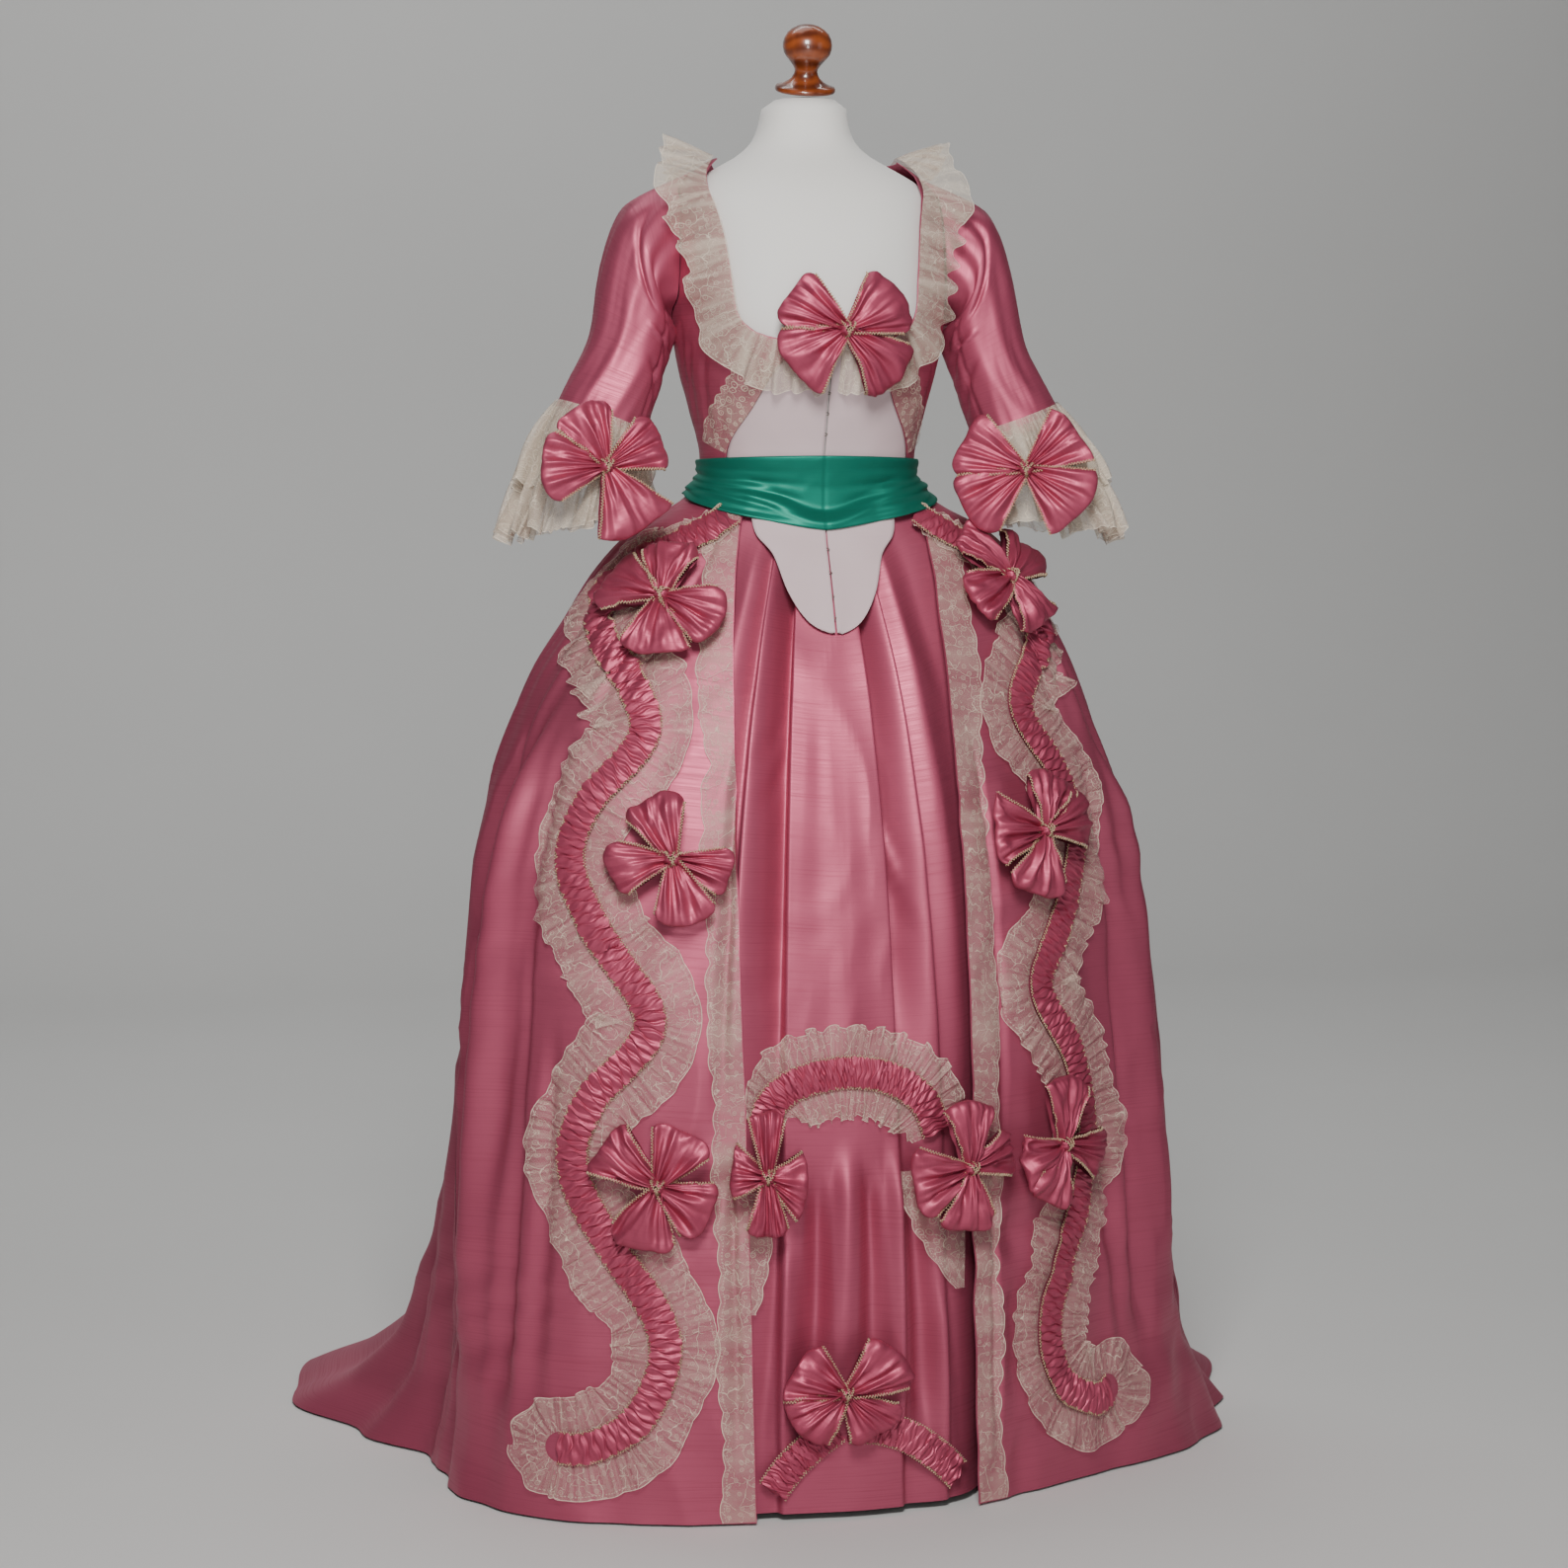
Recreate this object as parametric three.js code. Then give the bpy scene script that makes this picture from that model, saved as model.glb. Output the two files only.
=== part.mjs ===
// English gown of the late eighteenth century on a limbless dress form, in millimetres, +Z up.
// The origin is the middle of the underside of the stand's base. The gown faces -Y, its train lies
// along +Y, and the wearer's right is -X. A place on the gown is given by its bearing, in degrees
// from the front towards the wearer's left, and its height z above the floor.
import * as THREE from 'three';

const DEG = Math.PI / 180;
const RIGHT = -1;
const LEFT = 1;
const SIDES = [['right', RIGHT], ['left', LEFT]];

// Driving dimensions.
const SILK_WALL = 2;
const LACE_WALL = 1.2;
const SEAM_GAP = 0.35;
const SEAT = { over: 3, lap: 1.6 };   // a sleeve's lap over the armhole: in mm, and in degrees
const GOWN_LIFT = 10;          // the gown's skirt over the petticoat
const WAIST_LIFT = 5;          // the same at the waist
const UNDER_GOWN = 22;         // how far the petticoat draws in where the gown covers it
const PETTICOAT_HALF = 410;    // the petticoat's greatest half width
const BODICE_LIFT = 8;         // the bodice over the dress form
const HEM_HEIGHT = 3;
const PETTICOAT_HEM = 9;
const SHOULDER = 1508;
const WAIST = { front: 1094, side: 1136, back: 1130 };
const SASH = { top: 1175, thick: 2, below: 3, level: 100 };
const UNDERARM = 1330;
const ARMHOLE_TOP = 1474;
const RUCHED_WIDTH = 34;
const SERPENTINE_LACE = 40;
const FRONT_LACE = 34;
const NECK_LACE = 50;
// The neckline's ruffle stands up on the shoulders: where, how far off, and how much it draws in.
const STANDS = { bearing: 76, half: 40, off: 38, drawn: 0.5 };
const STOMACHER_LACE = 42;
const BOW_SPAN = 150;
const LACE_LIFT = 3;           // gathered lace over the cloth that carries it
const BAND_LIFT = 5;           // ruched bands, over the lace's sewn edges
const BOW_LIFT = 14;
const BASE = { radius: 170, rise: 16 };
const POLE_RADIUS = 14;
const FORM_BOTTOM = 820;
const FORM_TOP = 1585;
const NECK_LEAN = 16;          // how far the neck's cap leans forward, in degrees

const table = (columns, rows) => rows.map((row) => (
  Object.fromEntries(columns.map((name, k) => [name, row[k]]))
));

// Horizontal sections of the gown's skirt: half widths to each side, depth before and behind the
// axis, half width of the train, how square each front quarter is (2 is an ellipse), how far the
// hem's left quarter is swept in, and the petticoat's depth behind.
const SKIRT = table(
  ['z', 'right', 'left', 'front', 'back', 'train', 'squareRight', 'squareLeft', 'sweep', 'under'],
  [
    [1140, 124, 124, 92, 98, 124, 2.0, 2.0, 0, 94],
    [1118, 150, 154, 97, 116, 150, 2.0, 2.0, 0, 104],
    [1090, 194, 204, 106, 138, 196, 2.1, 2.0, 0, 124],
    [1040, 240, 252, 132, 160, 240, 2.2, 2.0, 0, 146],
    [985, 276, 286, 158, 190, 276, 2.3, 2.0, 4, 172],
    [930, 312, 318, 182, 220, 312, 2.3, 1.9, 8, 200],
    [860, 342, 352, 206, 258, 342, 2.4, 1.8, 12, 232],
    [780, 366, 386, 228, 300, 366, 2.5, 1.75, 16, 266],
    [680, 384, 408, 248, 350, 386, 2.6, 1.7, 20, 302],
    [540, 396, 434, 268, 420, 404, 2.7, 1.65, 26, 344],
    [380, 404, 456, 280, 490, 424, 2.7, 1.6, 32, 378],
    [230, 410, 474, 287, 552, 452, 2.8, 1.6, 38, 398],
    [120, 416, 492, 291, 610, 486, 2.8, 1.6, 42, 408],
    [50, 422, 516, 293, 690, 550, 2.8, 1.6, 46, 412],
    [18, 428, 528, 294, 764, 612, 2.8, 1.6, 48, 414],
    [0, 432, 536, 295, 806, 646, 2.8, 1.6, 48, 414],
  ],
);

// Horizontal sections of the dress form; `set` is how far each lies behind the stand's axis.
const FORM = table(
  ['z', 'half', 'front', 'back', 'set'],
  [
    [1585, 36, 36, 36, 16],
    [1576, 49, 47, 48, 18],
    [1560, 52, 50, 51, 22],
    [1542, 58, 53, 58, 24],
    [1526, 72, 60, 68, 24],
    [1510, 98, 70, 84, 20],
    [1490, 132, 86, 96, 16],
    [1468, 149, 98, 104, 10],
    [1430, 152, 114, 108, 4],
    [1380, 152, 128, 108, 0],
    [1330, 150, 138, 106, 0],
    [1280, 143, 134, 100, 0],
    [1230, 130, 114, 94, 0],
    [1174, 117, 94, 90, 0],
    [1130, 116, 87, 90, 0],
    [1080, 134, 92, 102, 0],
    [1010, 158, 104, 120, 0],
    [920, 162, 106, 124, 0],
    [820, 150, 98, 112, 0],
  ],
);

// The stomacher's side edge, and above it the neckline's, as a bearing at each height.
const FRONT_EDGE = table(
  ['z', 'bearing'],
  [[1094, 66], [1174, 61], [1230, 39], [1275, 24], [1298, 16], [1312, 33], [1332, 41],
    [1380, 46], [1430, 52], [1474, 62], [1508, 77]],
);

// Front edge of each side of the gown's skirt, as a bearing at each height.
const SKIRT_EDGE = {
  right: table(
    ['z', 'bearing'],
    [[1140, 49], [1065, 41.5], [985, 36], [870, 31], [700, 27], [396, 23.4], [0, 21]],
  ),
  left: table(
    ['z', 'bearing'],
    [[1140, 60], [1109, 55], [1040, 44.5], [976, 39], [855, 33.5], [692, 30.2], [528, 28.8], [0, 27.2]],
  ),
};

// The petticoat's pleats in the opening: bearing, half width in degrees, greatest depth.
const PLEATS = table(
  ['bearing', 'half', 'depth'],
  [[-31.5, 4, 12], [-22, 6, 30], [-13.5, 2.5, 4], [10, 2.5, 4], [18, 6, 30], [27.5, 4, 14]],
);

// The stomacher's tabs below the sash: the bearing of each one's rounded edge.
const TAB = table(
  ['z', 'bearing'],
  [[1102, 44], [1093, 42], [1060, 28], [1016, 19], [988, 11.5], [978, 6.5], [974, 2.5]],
);

// The gown's largest folds outside the pleated back: bearing, half width, depth at the hem.
const FOLDS = table(
  ['bearing', 'half', 'depth'],
  [[-98, 6, 16], [-84, 6, 12], [-68, 6, 6], [-46, 6, 4], [40, 6, 4], [66, 7, 5], [84, 7, 14],
    [98, 6, 16]],
);
const SWEPT = { bearing: 66, half: 52 };
const BACK_PLEATS = 10;
const BACK_PLEAT_DEPTH = 24;
const BACK_FROM = 104;

const clamp01 = (t) => Math.min(1, Math.max(0, t));
const smooth = (t) => clamp01(t) ** 2 * (3 - 2 * clamp01(t));
const mix = (a, b, t) => a + (b - a) * t;
const steps = (from, to, count) => Array.from({ length: count + 1 }, (_, k) => mix(from, to, k / count));

// A named column of a table at the height z, on a smooth curve that stays between its rows.
function read(rows, name, z) {
  const rate = (k) => (rows[k + 1][name] - rows[k][name]) / (rows[k + 1].z - rows[k].z);
  const last = rows.length - 1;
  const slope = (k) => {
    if (k === 0) return rate(0);
    if (k === last) return rate(last - 1);
    const [before, after] = [rate(k - 1), rate(k)];
    return before * after > 0 ? (2 * before * after) / (before + after) : 0;
  };
  const falling = rows[last].z < rows[0].z;
  let k = 0;
  while (k < last - 1 && (falling ? z < rows[k + 1].z : z > rows[k + 1].z)) k += 1;
  const width = rows[k + 1].z - rows[k].z;
  const t = clamp01((z - rows[k].z) / width);
  const blend = smooth(t);
  return mix(rows[k][name], rows[k + 1][name], blend)
    + width * (slope(k) * t * (1 - t) ** 2 - slope(k + 1) * t ** 2 * (1 - t));
}

// Distance from the axis to an oval of the given half axes, in the direction of the bearing.
function oval(half, depth, square, bearing) {
  const across = Math.abs(Math.sin(bearing * DEG)) / half;
  const along = Math.abs(Math.cos(bearing * DEG)) / depth;
  return (across ** square + along ** square) ** (-1 / square);
}

const turned = (bearing) => {
  const turn = ((bearing % 360) + 540) % 360;
  return turn - 180;
};

const polar = (bearing, radius, z) => new THREE.Vector3(
  radius * Math.sin(bearing * DEG),
  -radius * Math.cos(bearing * DEG),
  z,
);

const dent = (bearing, rows) => rows.reduce((sum, row) => (
  sum + row.depth * smooth(1 - Math.abs(bearing - row.bearing) / row.half)
), 0);

// The skirt's smooth form; `rear` names the column that gives its depth behind.
function skirtRadius(bearing, z, rear) {
  const b = turned(bearing);
  const side = b < 0 ? 'right' : 'left';
  const hip = read(SKIRT, side, z);
  const half = rear === 'back' ? hip : Math.min(hip, PETTICOAT_HALF);
  const swept = read(SKIRT, 'sweep', z) * smooth(1 - Math.abs(b - SWEPT.bearing) / SWEPT.half);
  if (Math.abs(b) <= 90) {
    const square = read(SKIRT, b < 0 ? 'squareRight' : 'squareLeft', z);
    return oval(half, read(SKIRT, 'front', z), square, b) - swept;
  }
  const behind = read(SKIRT, rear, z);
  const widest = rear === 'back' ? read(SKIRT, 'train', z) : Math.min(half, behind + 20);
  const train = mix(half, widest, smooth((Math.abs(b) - 90) / 40));
  const square = rear === 'back' ? mix(2, 2.6, smooth((400 - z) / 400)) : 2.2;
  return oval(train, behind, square, b) - swept;
}

// How far the folds have opened at a height, 0 at the waist and 1 at the hem.
const opened = (z) => smooth((WAIST.side - z) / 700);

// How deep the petticoat's pleats are at a height: full at the hips, softer at the hem.
const pleated = (z) => smooth((WAIST.side - z) / 130) * mix(1, 0.4, smooth((820 - z) / 380));

// The petticoat's form without its pleats, which its trimmings bridge.
function petticoatFace(bearing, z) {
  const b = turned(bearing);
  return polar(b, skirtRadius(b, z, 'under'), z);
}

function petticoat(bearing, z) {
  const b = turned(bearing);
  const pleat = pleated(z) * dent(b, PLEATS);
  const tucked = UNDER_GOWN * smooth((Math.abs(b + 4) - 28) / 18) * smooth((WAIST.side - z) / 160);
  return polar(b, skirtRadius(b, z, 'under') - pleat - tucked, z);
}

function gown(bearing, z) {
  const b = turned(bearing);
  const fold = opened(z) * dent(b, FOLDS);
  const round = (Math.abs(b) - BACK_FROM) / (180 - BACK_FROM);
  const wave = 0.5 - 0.5 * Math.cos(round * BACK_PLEATS * Math.PI);
  const gathered = round > 0 ? (0.25 + 0.75 * opened(z)) * BACK_PLEAT_DEPTH * wave : 0;
  const fitted = smooth((WAIST.side - z) / 60);
  const lift = mix(WAIST_LIFT, GOWN_LIFT, fitted);
  return polar(b, skirtRadius(b, z, 'back') + lift - fold - gathered * fitted, z);
}

function form(bearing, z) {
  const depth = Math.abs(turned(bearing)) <= 90 ? read(FORM, 'front', z) : read(FORM, 'back', z);
  const point = polar(bearing, oval(read(FORM, 'half', z), depth, 2.15, bearing), z);
  point.y += read(FORM, 'set', z);
  return point;
}

// The bodice follows the form at a small distance, and a little higher over the shoulders.
const bodice = (bearing, z) => {
  const point = form(bearing, z);
  const flat = Math.hypot(point.x, point.y);
  const rise = smooth((z - ARMHOLE_TOP) / 40) * BODICE_LIFT;
  return new THREE.Vector3(
    (point.x * (flat + BODICE_LIFT)) / flat,
    (point.y * (flat + BODICE_LIFT)) / flat,
    z + rise,
  );
};

// Sleeve rings: centre, the turn of each ring out of the level, and its two half axes.
const SLEEVE = table(
  ['z', 'x', 'y', 'height', 'turn', 'high', 'deep'],
  [
    [0, 168, 4, 1408, 98, 74, 60],
    [35, 190, 3, 1396, 76, 72, 62],
    [80, 199, 0, 1354, 46, 60, 60],
    [140, 214, -8, 1288, 25, 48, 54],
    [200, 240, -16, 1226, 20, 52, 52],
    [225, 249, -19, 1203, 20, 54, 53],
  ],
);
const SLEEVE_LENGTH = 225;
const SLEEVE_HEAD = 42;        // how far down a sleeve its head blends into the tube

// Half width of each armhole at a height, as a bearing.
const armhole = (z) => 13 * smooth((z - UNDERARM) / 30) * smooth((ARMHOLE_TOP + 20 - z) / 30);

// Where the sleeve's edge is sewn: round the armhole, lapped over the bodice's edge.
function sleeveSeat(side, angle) {
  const middle = (UNDERARM + ARMHOLE_TOP + 20) / 2;
  const z = middle + (ARMHOLE_TOP + 20 - middle + SEAT.over) * Math.cos(angle * DEG);
  const around = Math.sin(angle * DEG);
  const width = (armhole(z) + SEAT.lap) * Math.sign(around) * Math.abs(around) ** 0.4;
  const seat = bodice(side * (90 - width), z);
  return seat.addScaledVector(polar(side * (90 - width), 1, 0), SILK_WALL + SEAM_GAP);
}

// A point on a sleeve, by the angle round it (0 is its outer side, 90 its front) and the length
// down from the armhole. Past the cuff it runs straight on, opening like a bell.
const sleeve = (side) => Object.assign((angle, down) => {
  const at = Math.min(Math.max(0, down), SLEEVE_LENGTH);
  const past = Math.max(0, down - SLEEVE_LENGTH);
  const turn = read(SLEEVE, 'turn', at) * DEG;
  const out = new THREE.Vector3(side * Math.cos(turn), 0, Math.sin(turn));
  const fall = new THREE.Vector3(side * Math.sin(turn), -0.16, -Math.cos(turn)).normalize();
  const [x, y, height] = ['x', 'y', 'height'].map((name) => read(SLEEVE, name, at));
  const centre = new THREE.Vector3(side * x, y, height);
  const high = read(SLEEVE, 'high', at) + past * 0.15;
  const deep = read(SLEEVE, 'deep', at) + past * 0.14;
  return centre
    .addScaledVector(fall, past)
    .addScaledVector(out, high * Math.cos(angle * DEG))
    .add(new THREE.Vector3(0, -deep * Math.sin(angle * DEG), 0))
    .lerp(sleeveSeat(side, angle), 1 - smooth(down / SLEEVE_HEAD));
}, { facing: side });

// Turns an indexed triangle list into a geometry whose faces look out.
function solid(points, triangles) {
  const volume = triangles.reduce((sum, [a, b, c]) => (
    sum + points[a].dot(new THREE.Vector3().crossVectors(points[b], points[c]))
  ), 0);
  const facing = volume > 0 ? triangles : triangles.map(([a, b, c]) => [a, c, b]);
  const geometry = new THREE.BufferGeometry();
  geometry.setAttribute('position', new THREE.Float32BufferAttribute(points.flatMap((p) => p.toArray()), 3));
  geometry.setIndex(facing.flat());
  geometry.computeVertexNormals();
  return geometry;
}

// A closed wall between an outer and an inner face, both functions of u and v. A tube has
// `closed` true, and its last column joins its first.
function wall(us, vs, outer, inner, closed = false) {
  const columns = closed ? us.slice(0, -1) : us;
  const points = [];
  for (const face of [outer, inner]) {
    for (const u of columns) {
      for (const v of vs) points.push(face(u, v));
    }
  }
  const rows = vs.length;
  const shift = columns.length * rows;
  const at = (i, j) => (i % columns.length) * rows + j;
  const triangles = [];
  const quad = (a, b, c, d) => triangles.push([a, b, c], [a, c, d]);
  const rim = (a, b) => quad(b, a, a + shift, b + shift);
  const spans = closed ? columns.length : columns.length - 1;
  for (let i = 0; i < spans; i += 1) {
    for (let j = 0; j < rows - 1; j += 1) {
      const [a, b, c, d] = [at(i, j), at(i + 1, j), at(i + 1, j + 1), at(i, j + 1)];
      quad(a, b, c, d);
      triangles.push([a + shift, c + shift, b + shift], [a + shift, d + shift, c + shift]);
    }
    rim(at(i, 0), at(i + 1, 0));
    rim(at(i + 1, rows - 1), at(i, rows - 1));
  }
  if (!closed) {
    for (let j = 0; j < rows - 1; j += 1) {
      rim(at(spans, j), at(spans, j + 1));
      rim(at(0, j + 1), at(0, j));
    }
  }
  return solid(points, triangles);
}

// The two directions and the outward normal of a surface at (u, v).
function frameAt(surface, u, v) {
  const step = 0.5;
  const along = surface(u + step, v).sub(surface(u - step, v)).divideScalar(2 * step);
  const up = surface(u, v + step).sub(surface(u, v - step)).divideScalar(2 * step);
  const normal = new THREE.Vector3().crossVectors(along, up).normalize();
  return { along, up, normal: normal.multiplyScalar(surface.facing ?? 1) };
}

// The point reached from (u, v) by `move` over the surface, `lift` mm out of it.
function walk(surface, u, v, move, lift) {
  const { along, up } = frameAt(surface, u, v);
  const [aa, au, uu] = [along.dot(along), along.dot(up), up.dot(up)];
  const [ma, mu] = [move.dot(along), move.dot(up)];
  const scale = aa * uu - au * au;
  const du = (ma * uu - mu * au) / scale;
  const dv = (mu * aa - ma * au) / scale;
  const { normal } = frameAt(surface, u + du, v + dv);
  return surface(u + du, v + dv).addScaledVector(normal, lift);
}

// A wall of cloth on a surface: its outer face is `lift` mm out, and it is `thick` mm through.
function clothOn(surface, us, vs, lift, thick, closed = false, place = (u, v) => [u, v]) {
  const face = (out) => (u, v) => {
    const [b, z] = place(u, v);
    return surface(b, z).addScaledVector(frameAt(surface, b, z).normal, out);
  };
  return wall(us, vs, face(lift), face(lift - thick), closed);
}

// A strip sewn along a route over a surface, from `near` to `far` mm to the route's side, which
// may be functions of s. `rise(s, w)` is how far it stands off there, with s and w from 0 to 1.
const at = (value, s) => (typeof value === 'function' ? value(s) : value);
function strip({ surface, route, stations, near, far, rise, thick, rows = 1 }) {
  const tick = 0.004;
  const face = (extra) => (s, w) => {
    const here = route(s);
    const before = route(Math.max(0, s - tick));
    const after = route(Math.min(1, s + tick));
    const along = surface(after.x, after.y).sub(surface(before.x, before.y)).normalize();
    const { normal } = frameAt(surface, here.x, here.y);
    const aside = new THREE.Vector3().crossVectors(along, normal).normalize();
    const reach = mix(at(near, s), at(far, s), w);
    return walk(surface, here.x, here.y, aside.multiplyScalar(reach), rise(s, w) + extra);
  };
  return wall(steps(0, 1, stations), steps(0, 1, rows), face(thick), face(0));
}

// A smooth route through rows of bearing and height, walked at an even pace.
const MM_PER_DEGREE = 6;
function routeThrough(rows) {
  const curve = new THREE.SplineCurve(rows.map(([b, z]) => new THREE.Vector2(b * MM_PER_DEGREE, z)));
  curve.arcLengthDivisions = 400;
  return (s) => {
    const point = curve.getPointAt(clamp01(s));
    return new THREE.Vector2(point.x / MM_PER_DEGREE, point.y);
  };
}

const lathe = (profile, sides) => {
  const geometry = new THREE.LatheGeometry(profile.map(([r, z]) => new THREE.Vector2(r, z)), sides);
  geometry.rotateX(Math.PI / 2);
  return geometry;
};

// Four puffed loops round a knot, laid on a surface: a lobed cushion of ribbon, `wide` and `tall`
// over its loops, with the loops turned out of the diagonals by `turn` degrees.
const BOW_STEPS = 20;
const bowReach = (angle) => 0.24 + 0.76 * Math.abs(Math.sin(2 * angle)) ** 0.6;
const BOW_RINGS = table(
  ['reach', 'puff'],
  [[0.36, 13], [0.74, 20], [1, 5], [0.8, 1]],
);
const KNOT_HEIGHT = 18;
function bow(surface, { bearing, z, lift, wide = BOW_SPAN, tall = BOW_SPAN, turn = 0 }) {
  const { normal } = frameAt(surface, bearing, z);
  const rise = new THREE.Vector3(0, 0, 1).projectOnPlane(normal).normalize();
  const right = new THREE.Vector3().crossVectors(rise, normal).normalize();
  const fill = 0.5 + 0.11 * Math.abs(Math.cos(2 * turn * DEG));
  const place = (angle, reach, puff) => {
    const far = reach * bowReach(angle) * fill;
    const heading = angle + turn * DEG;
    const move = right.clone().multiplyScalar(far * wide * Math.cos(heading));
    return walk(surface, bearing, z, move.addScaledVector(rise, far * tall * Math.sin(heading)), lift + puff);
  };
  const points = [place(0, 0, KNOT_HEIGHT), place(0, 0, 0)];
  const angles = steps(0, 2 * Math.PI, BOW_STEPS).slice(0, -1);
  for (const { reach, puff } of BOW_RINGS) {
    for (const angle of angles) points.push(place(angle, reach, puff));
  }
  const spot = (row, k) => 2 + row * BOW_STEPS + (k % BOW_STEPS);
  const last = BOW_RINGS.length - 1;
  const triangles = [];
  for (let k = 0; k < BOW_STEPS; k += 1) {
    triangles.push([0, spot(0, k), spot(0, k + 1)]);
    for (let row = 0; row < last; row += 1) {
      triangles.push([spot(row, k), spot(row + 1, k), spot(row + 1, k + 1)]);
      triangles.push([spot(row, k), spot(row + 1, k + 1), spot(row, k + 1)]);
    }
    triangles.push([spot(last, k), 1, spot(last, k + 1)]);
  }
  return solid(points, triangles);
}

const FINISH = {
  silk: { color: 0xc2677f, roughness: 0.42 },
  lace: { color: 0xd6c2ad, roughness: 0.85 },
  stomacher: { color: 0xcdb6bd, roughness: 0.5 },
  sash: { color: 0x0f8f6d, roughness: 0.4 },
  form: { color: 0xdad6d1, roughness: 0.9 },
  wood: { color: 0x6a2a12, roughness: 0.25 },
};
const model = new THREE.Group();
function add(name, finish, geometry) {
  const mesh = new THREE.Mesh(geometry, new THREE.MeshStandardMaterial({ ...FINISH[finish], metalness: 0 }));
  mesh.name = name;
  model.add(mesh);
}

// Dress form: a padded torso on a turned pole, with a turned knob over its neck.
function dressForm() {
  const knob = [
    [0, 0], [34, 0], [35, 3], [34, 6], [22, 11], [14, 20], [13, 25], [19, 33], [27, 44], [28.5, 54],
    [24, 66], [12, 75], [0, 77],
  ];
  const cap = lathe(knob, 18);
  cap.rotateX(NECK_LEAN * DEG);
  cap.translate(0, read(FORM, 'set', FORM_TOP) - 4, FORM_TOP + 11);
  add('neck_knob', 'wood', cap);
  const heights = [
    FORM_BOTTOM, 920, 1010, 1080, 1130, 1180, 1230, 1280, 1330, 1380, 1430, 1468, 1490, 1510,
    1526, 1542, 1560, 1576, FORM_TOP,
  ];
  const around = steps(-180, 180, 22).slice(0, -1);
  const points = heights.flatMap((z) => around.map((b) => form(b, z)));
  const bottom = points.push(new THREE.Vector3(0, 0, FORM_BOTTOM)) - 1;
  const top = points.push(new THREE.Vector3(0, read(FORM, 'set', FORM_TOP), FORM_TOP)) - 1;
  const spot = (row, k) => row * around.length + (k % around.length);
  const last = heights.length - 1;
  const triangles = [];
  around.forEach((_, k) => {
    triangles.push([bottom, spot(0, k + 1), spot(0, k)]);
    triangles.push([top, spot(last, k), spot(last, k + 1)]);
    for (let row = 0; row < last; row += 1) {
      triangles.push([spot(row, k), spot(row, k + 1), spot(row + 1, k + 1)]);
      triangles.push([spot(row, k), spot(row + 1, k + 1), spot(row + 1, k)]);
    }
  });
  add('form_torso', 'form', solid(points, triangles));
  const { radius, rise } = BASE;
  const disc = [[0, 0], [radius, 0], [radius, rise * 0.6], [radius - 8, rise], [0, rise]];
  add('stand_base', 'wood', lathe(disc, 28));
  const from = rise + SEAM_GAP;
  const to = FORM_BOTTOM - SEAM_GAP;
  add('stand_pole', 'wood', lathe([[0, from], [POLE_RADIUS, from], [POLE_RADIUS, to], [0, to]], 12));
}

const waistline = (bearing) => {
  const b = Math.abs(turned(bearing));
  const front = mix(WAIST.side, WAIST.front, smooth(1 - b / 62));
  return b < 90 ? front : mix(WAIST.side, WAIST.back, smooth((b - 90) / 60));
};

// The sash's lower edge: it dips below the waist seam in front and meets it past the sides.
const sashline = (bearing) => {
  const b = Math.abs(turned(bearing));
  const dip = (WAIST.side - WAIST.front) * Math.min(1, b / SASH.level) ** 2.4;
  return b < SASH.level ? WAIST.front - SASH.below + dip : waistline(b) - SASH.below;
};

// Rows of the gown's skirt, from hem to waist.
const GOWN_ROWS = [0, 0.03, 0.1, 0.26, 0.46, 0.66, 0.84, 0.94, 1];

// The petticoat is a whole tube; the gown's skirt is two fronts and a back with the train.
function skirts() {
  const heights = [0, 0.14, 0.36, 0.6, 0.8, 0.93, 1];
  const fine = PLEATS.flatMap(({ bearing, half }) => [bearing - half, bearing, bearing + half]);
  const around = [...steps(-180, -42, 11), ...fine, ...steps(40, 180, 11)]
    .sort((a, b) => a - b).filter((b, k, all) => k === 0 || b - all[k - 1] > 0.6);
  const rise = (low) => (b, v) => [b, mix(low, waistline(b), v)];
  add('petticoat', 'silk', clothOn(petticoat, around, heights, 0, SILK_WALL, true, rise(PETTICOAT_HEM)));

  const seam = { front: 93, gap: 0.12 };
  for (const [name, side] of SIDES) {
    const place = (u, v) => {
      const z = mix(HEM_HEIGHT, waistline(side * mix(34, seam.front, u)), v);
      return [side * mix(read(SKIRT_EDGE[name], 'bearing', z), seam.front, u), z];
    };
    add(`skirt_${name}`, 'silk', clothOn(gown, steps(0, 1, 18), GOWN_ROWS, 0, SILK_WALL, false, place));
  }
  const back = steps(seam.front + seam.gap, 360 - seam.front - seam.gap, BACK_PLEATS * 4);
  add('skirt_back', 'silk', clothOn(gown, back, GOWN_ROWS, 0, SILK_WALL, false, rise(HEM_HEIGHT)));
}

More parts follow.
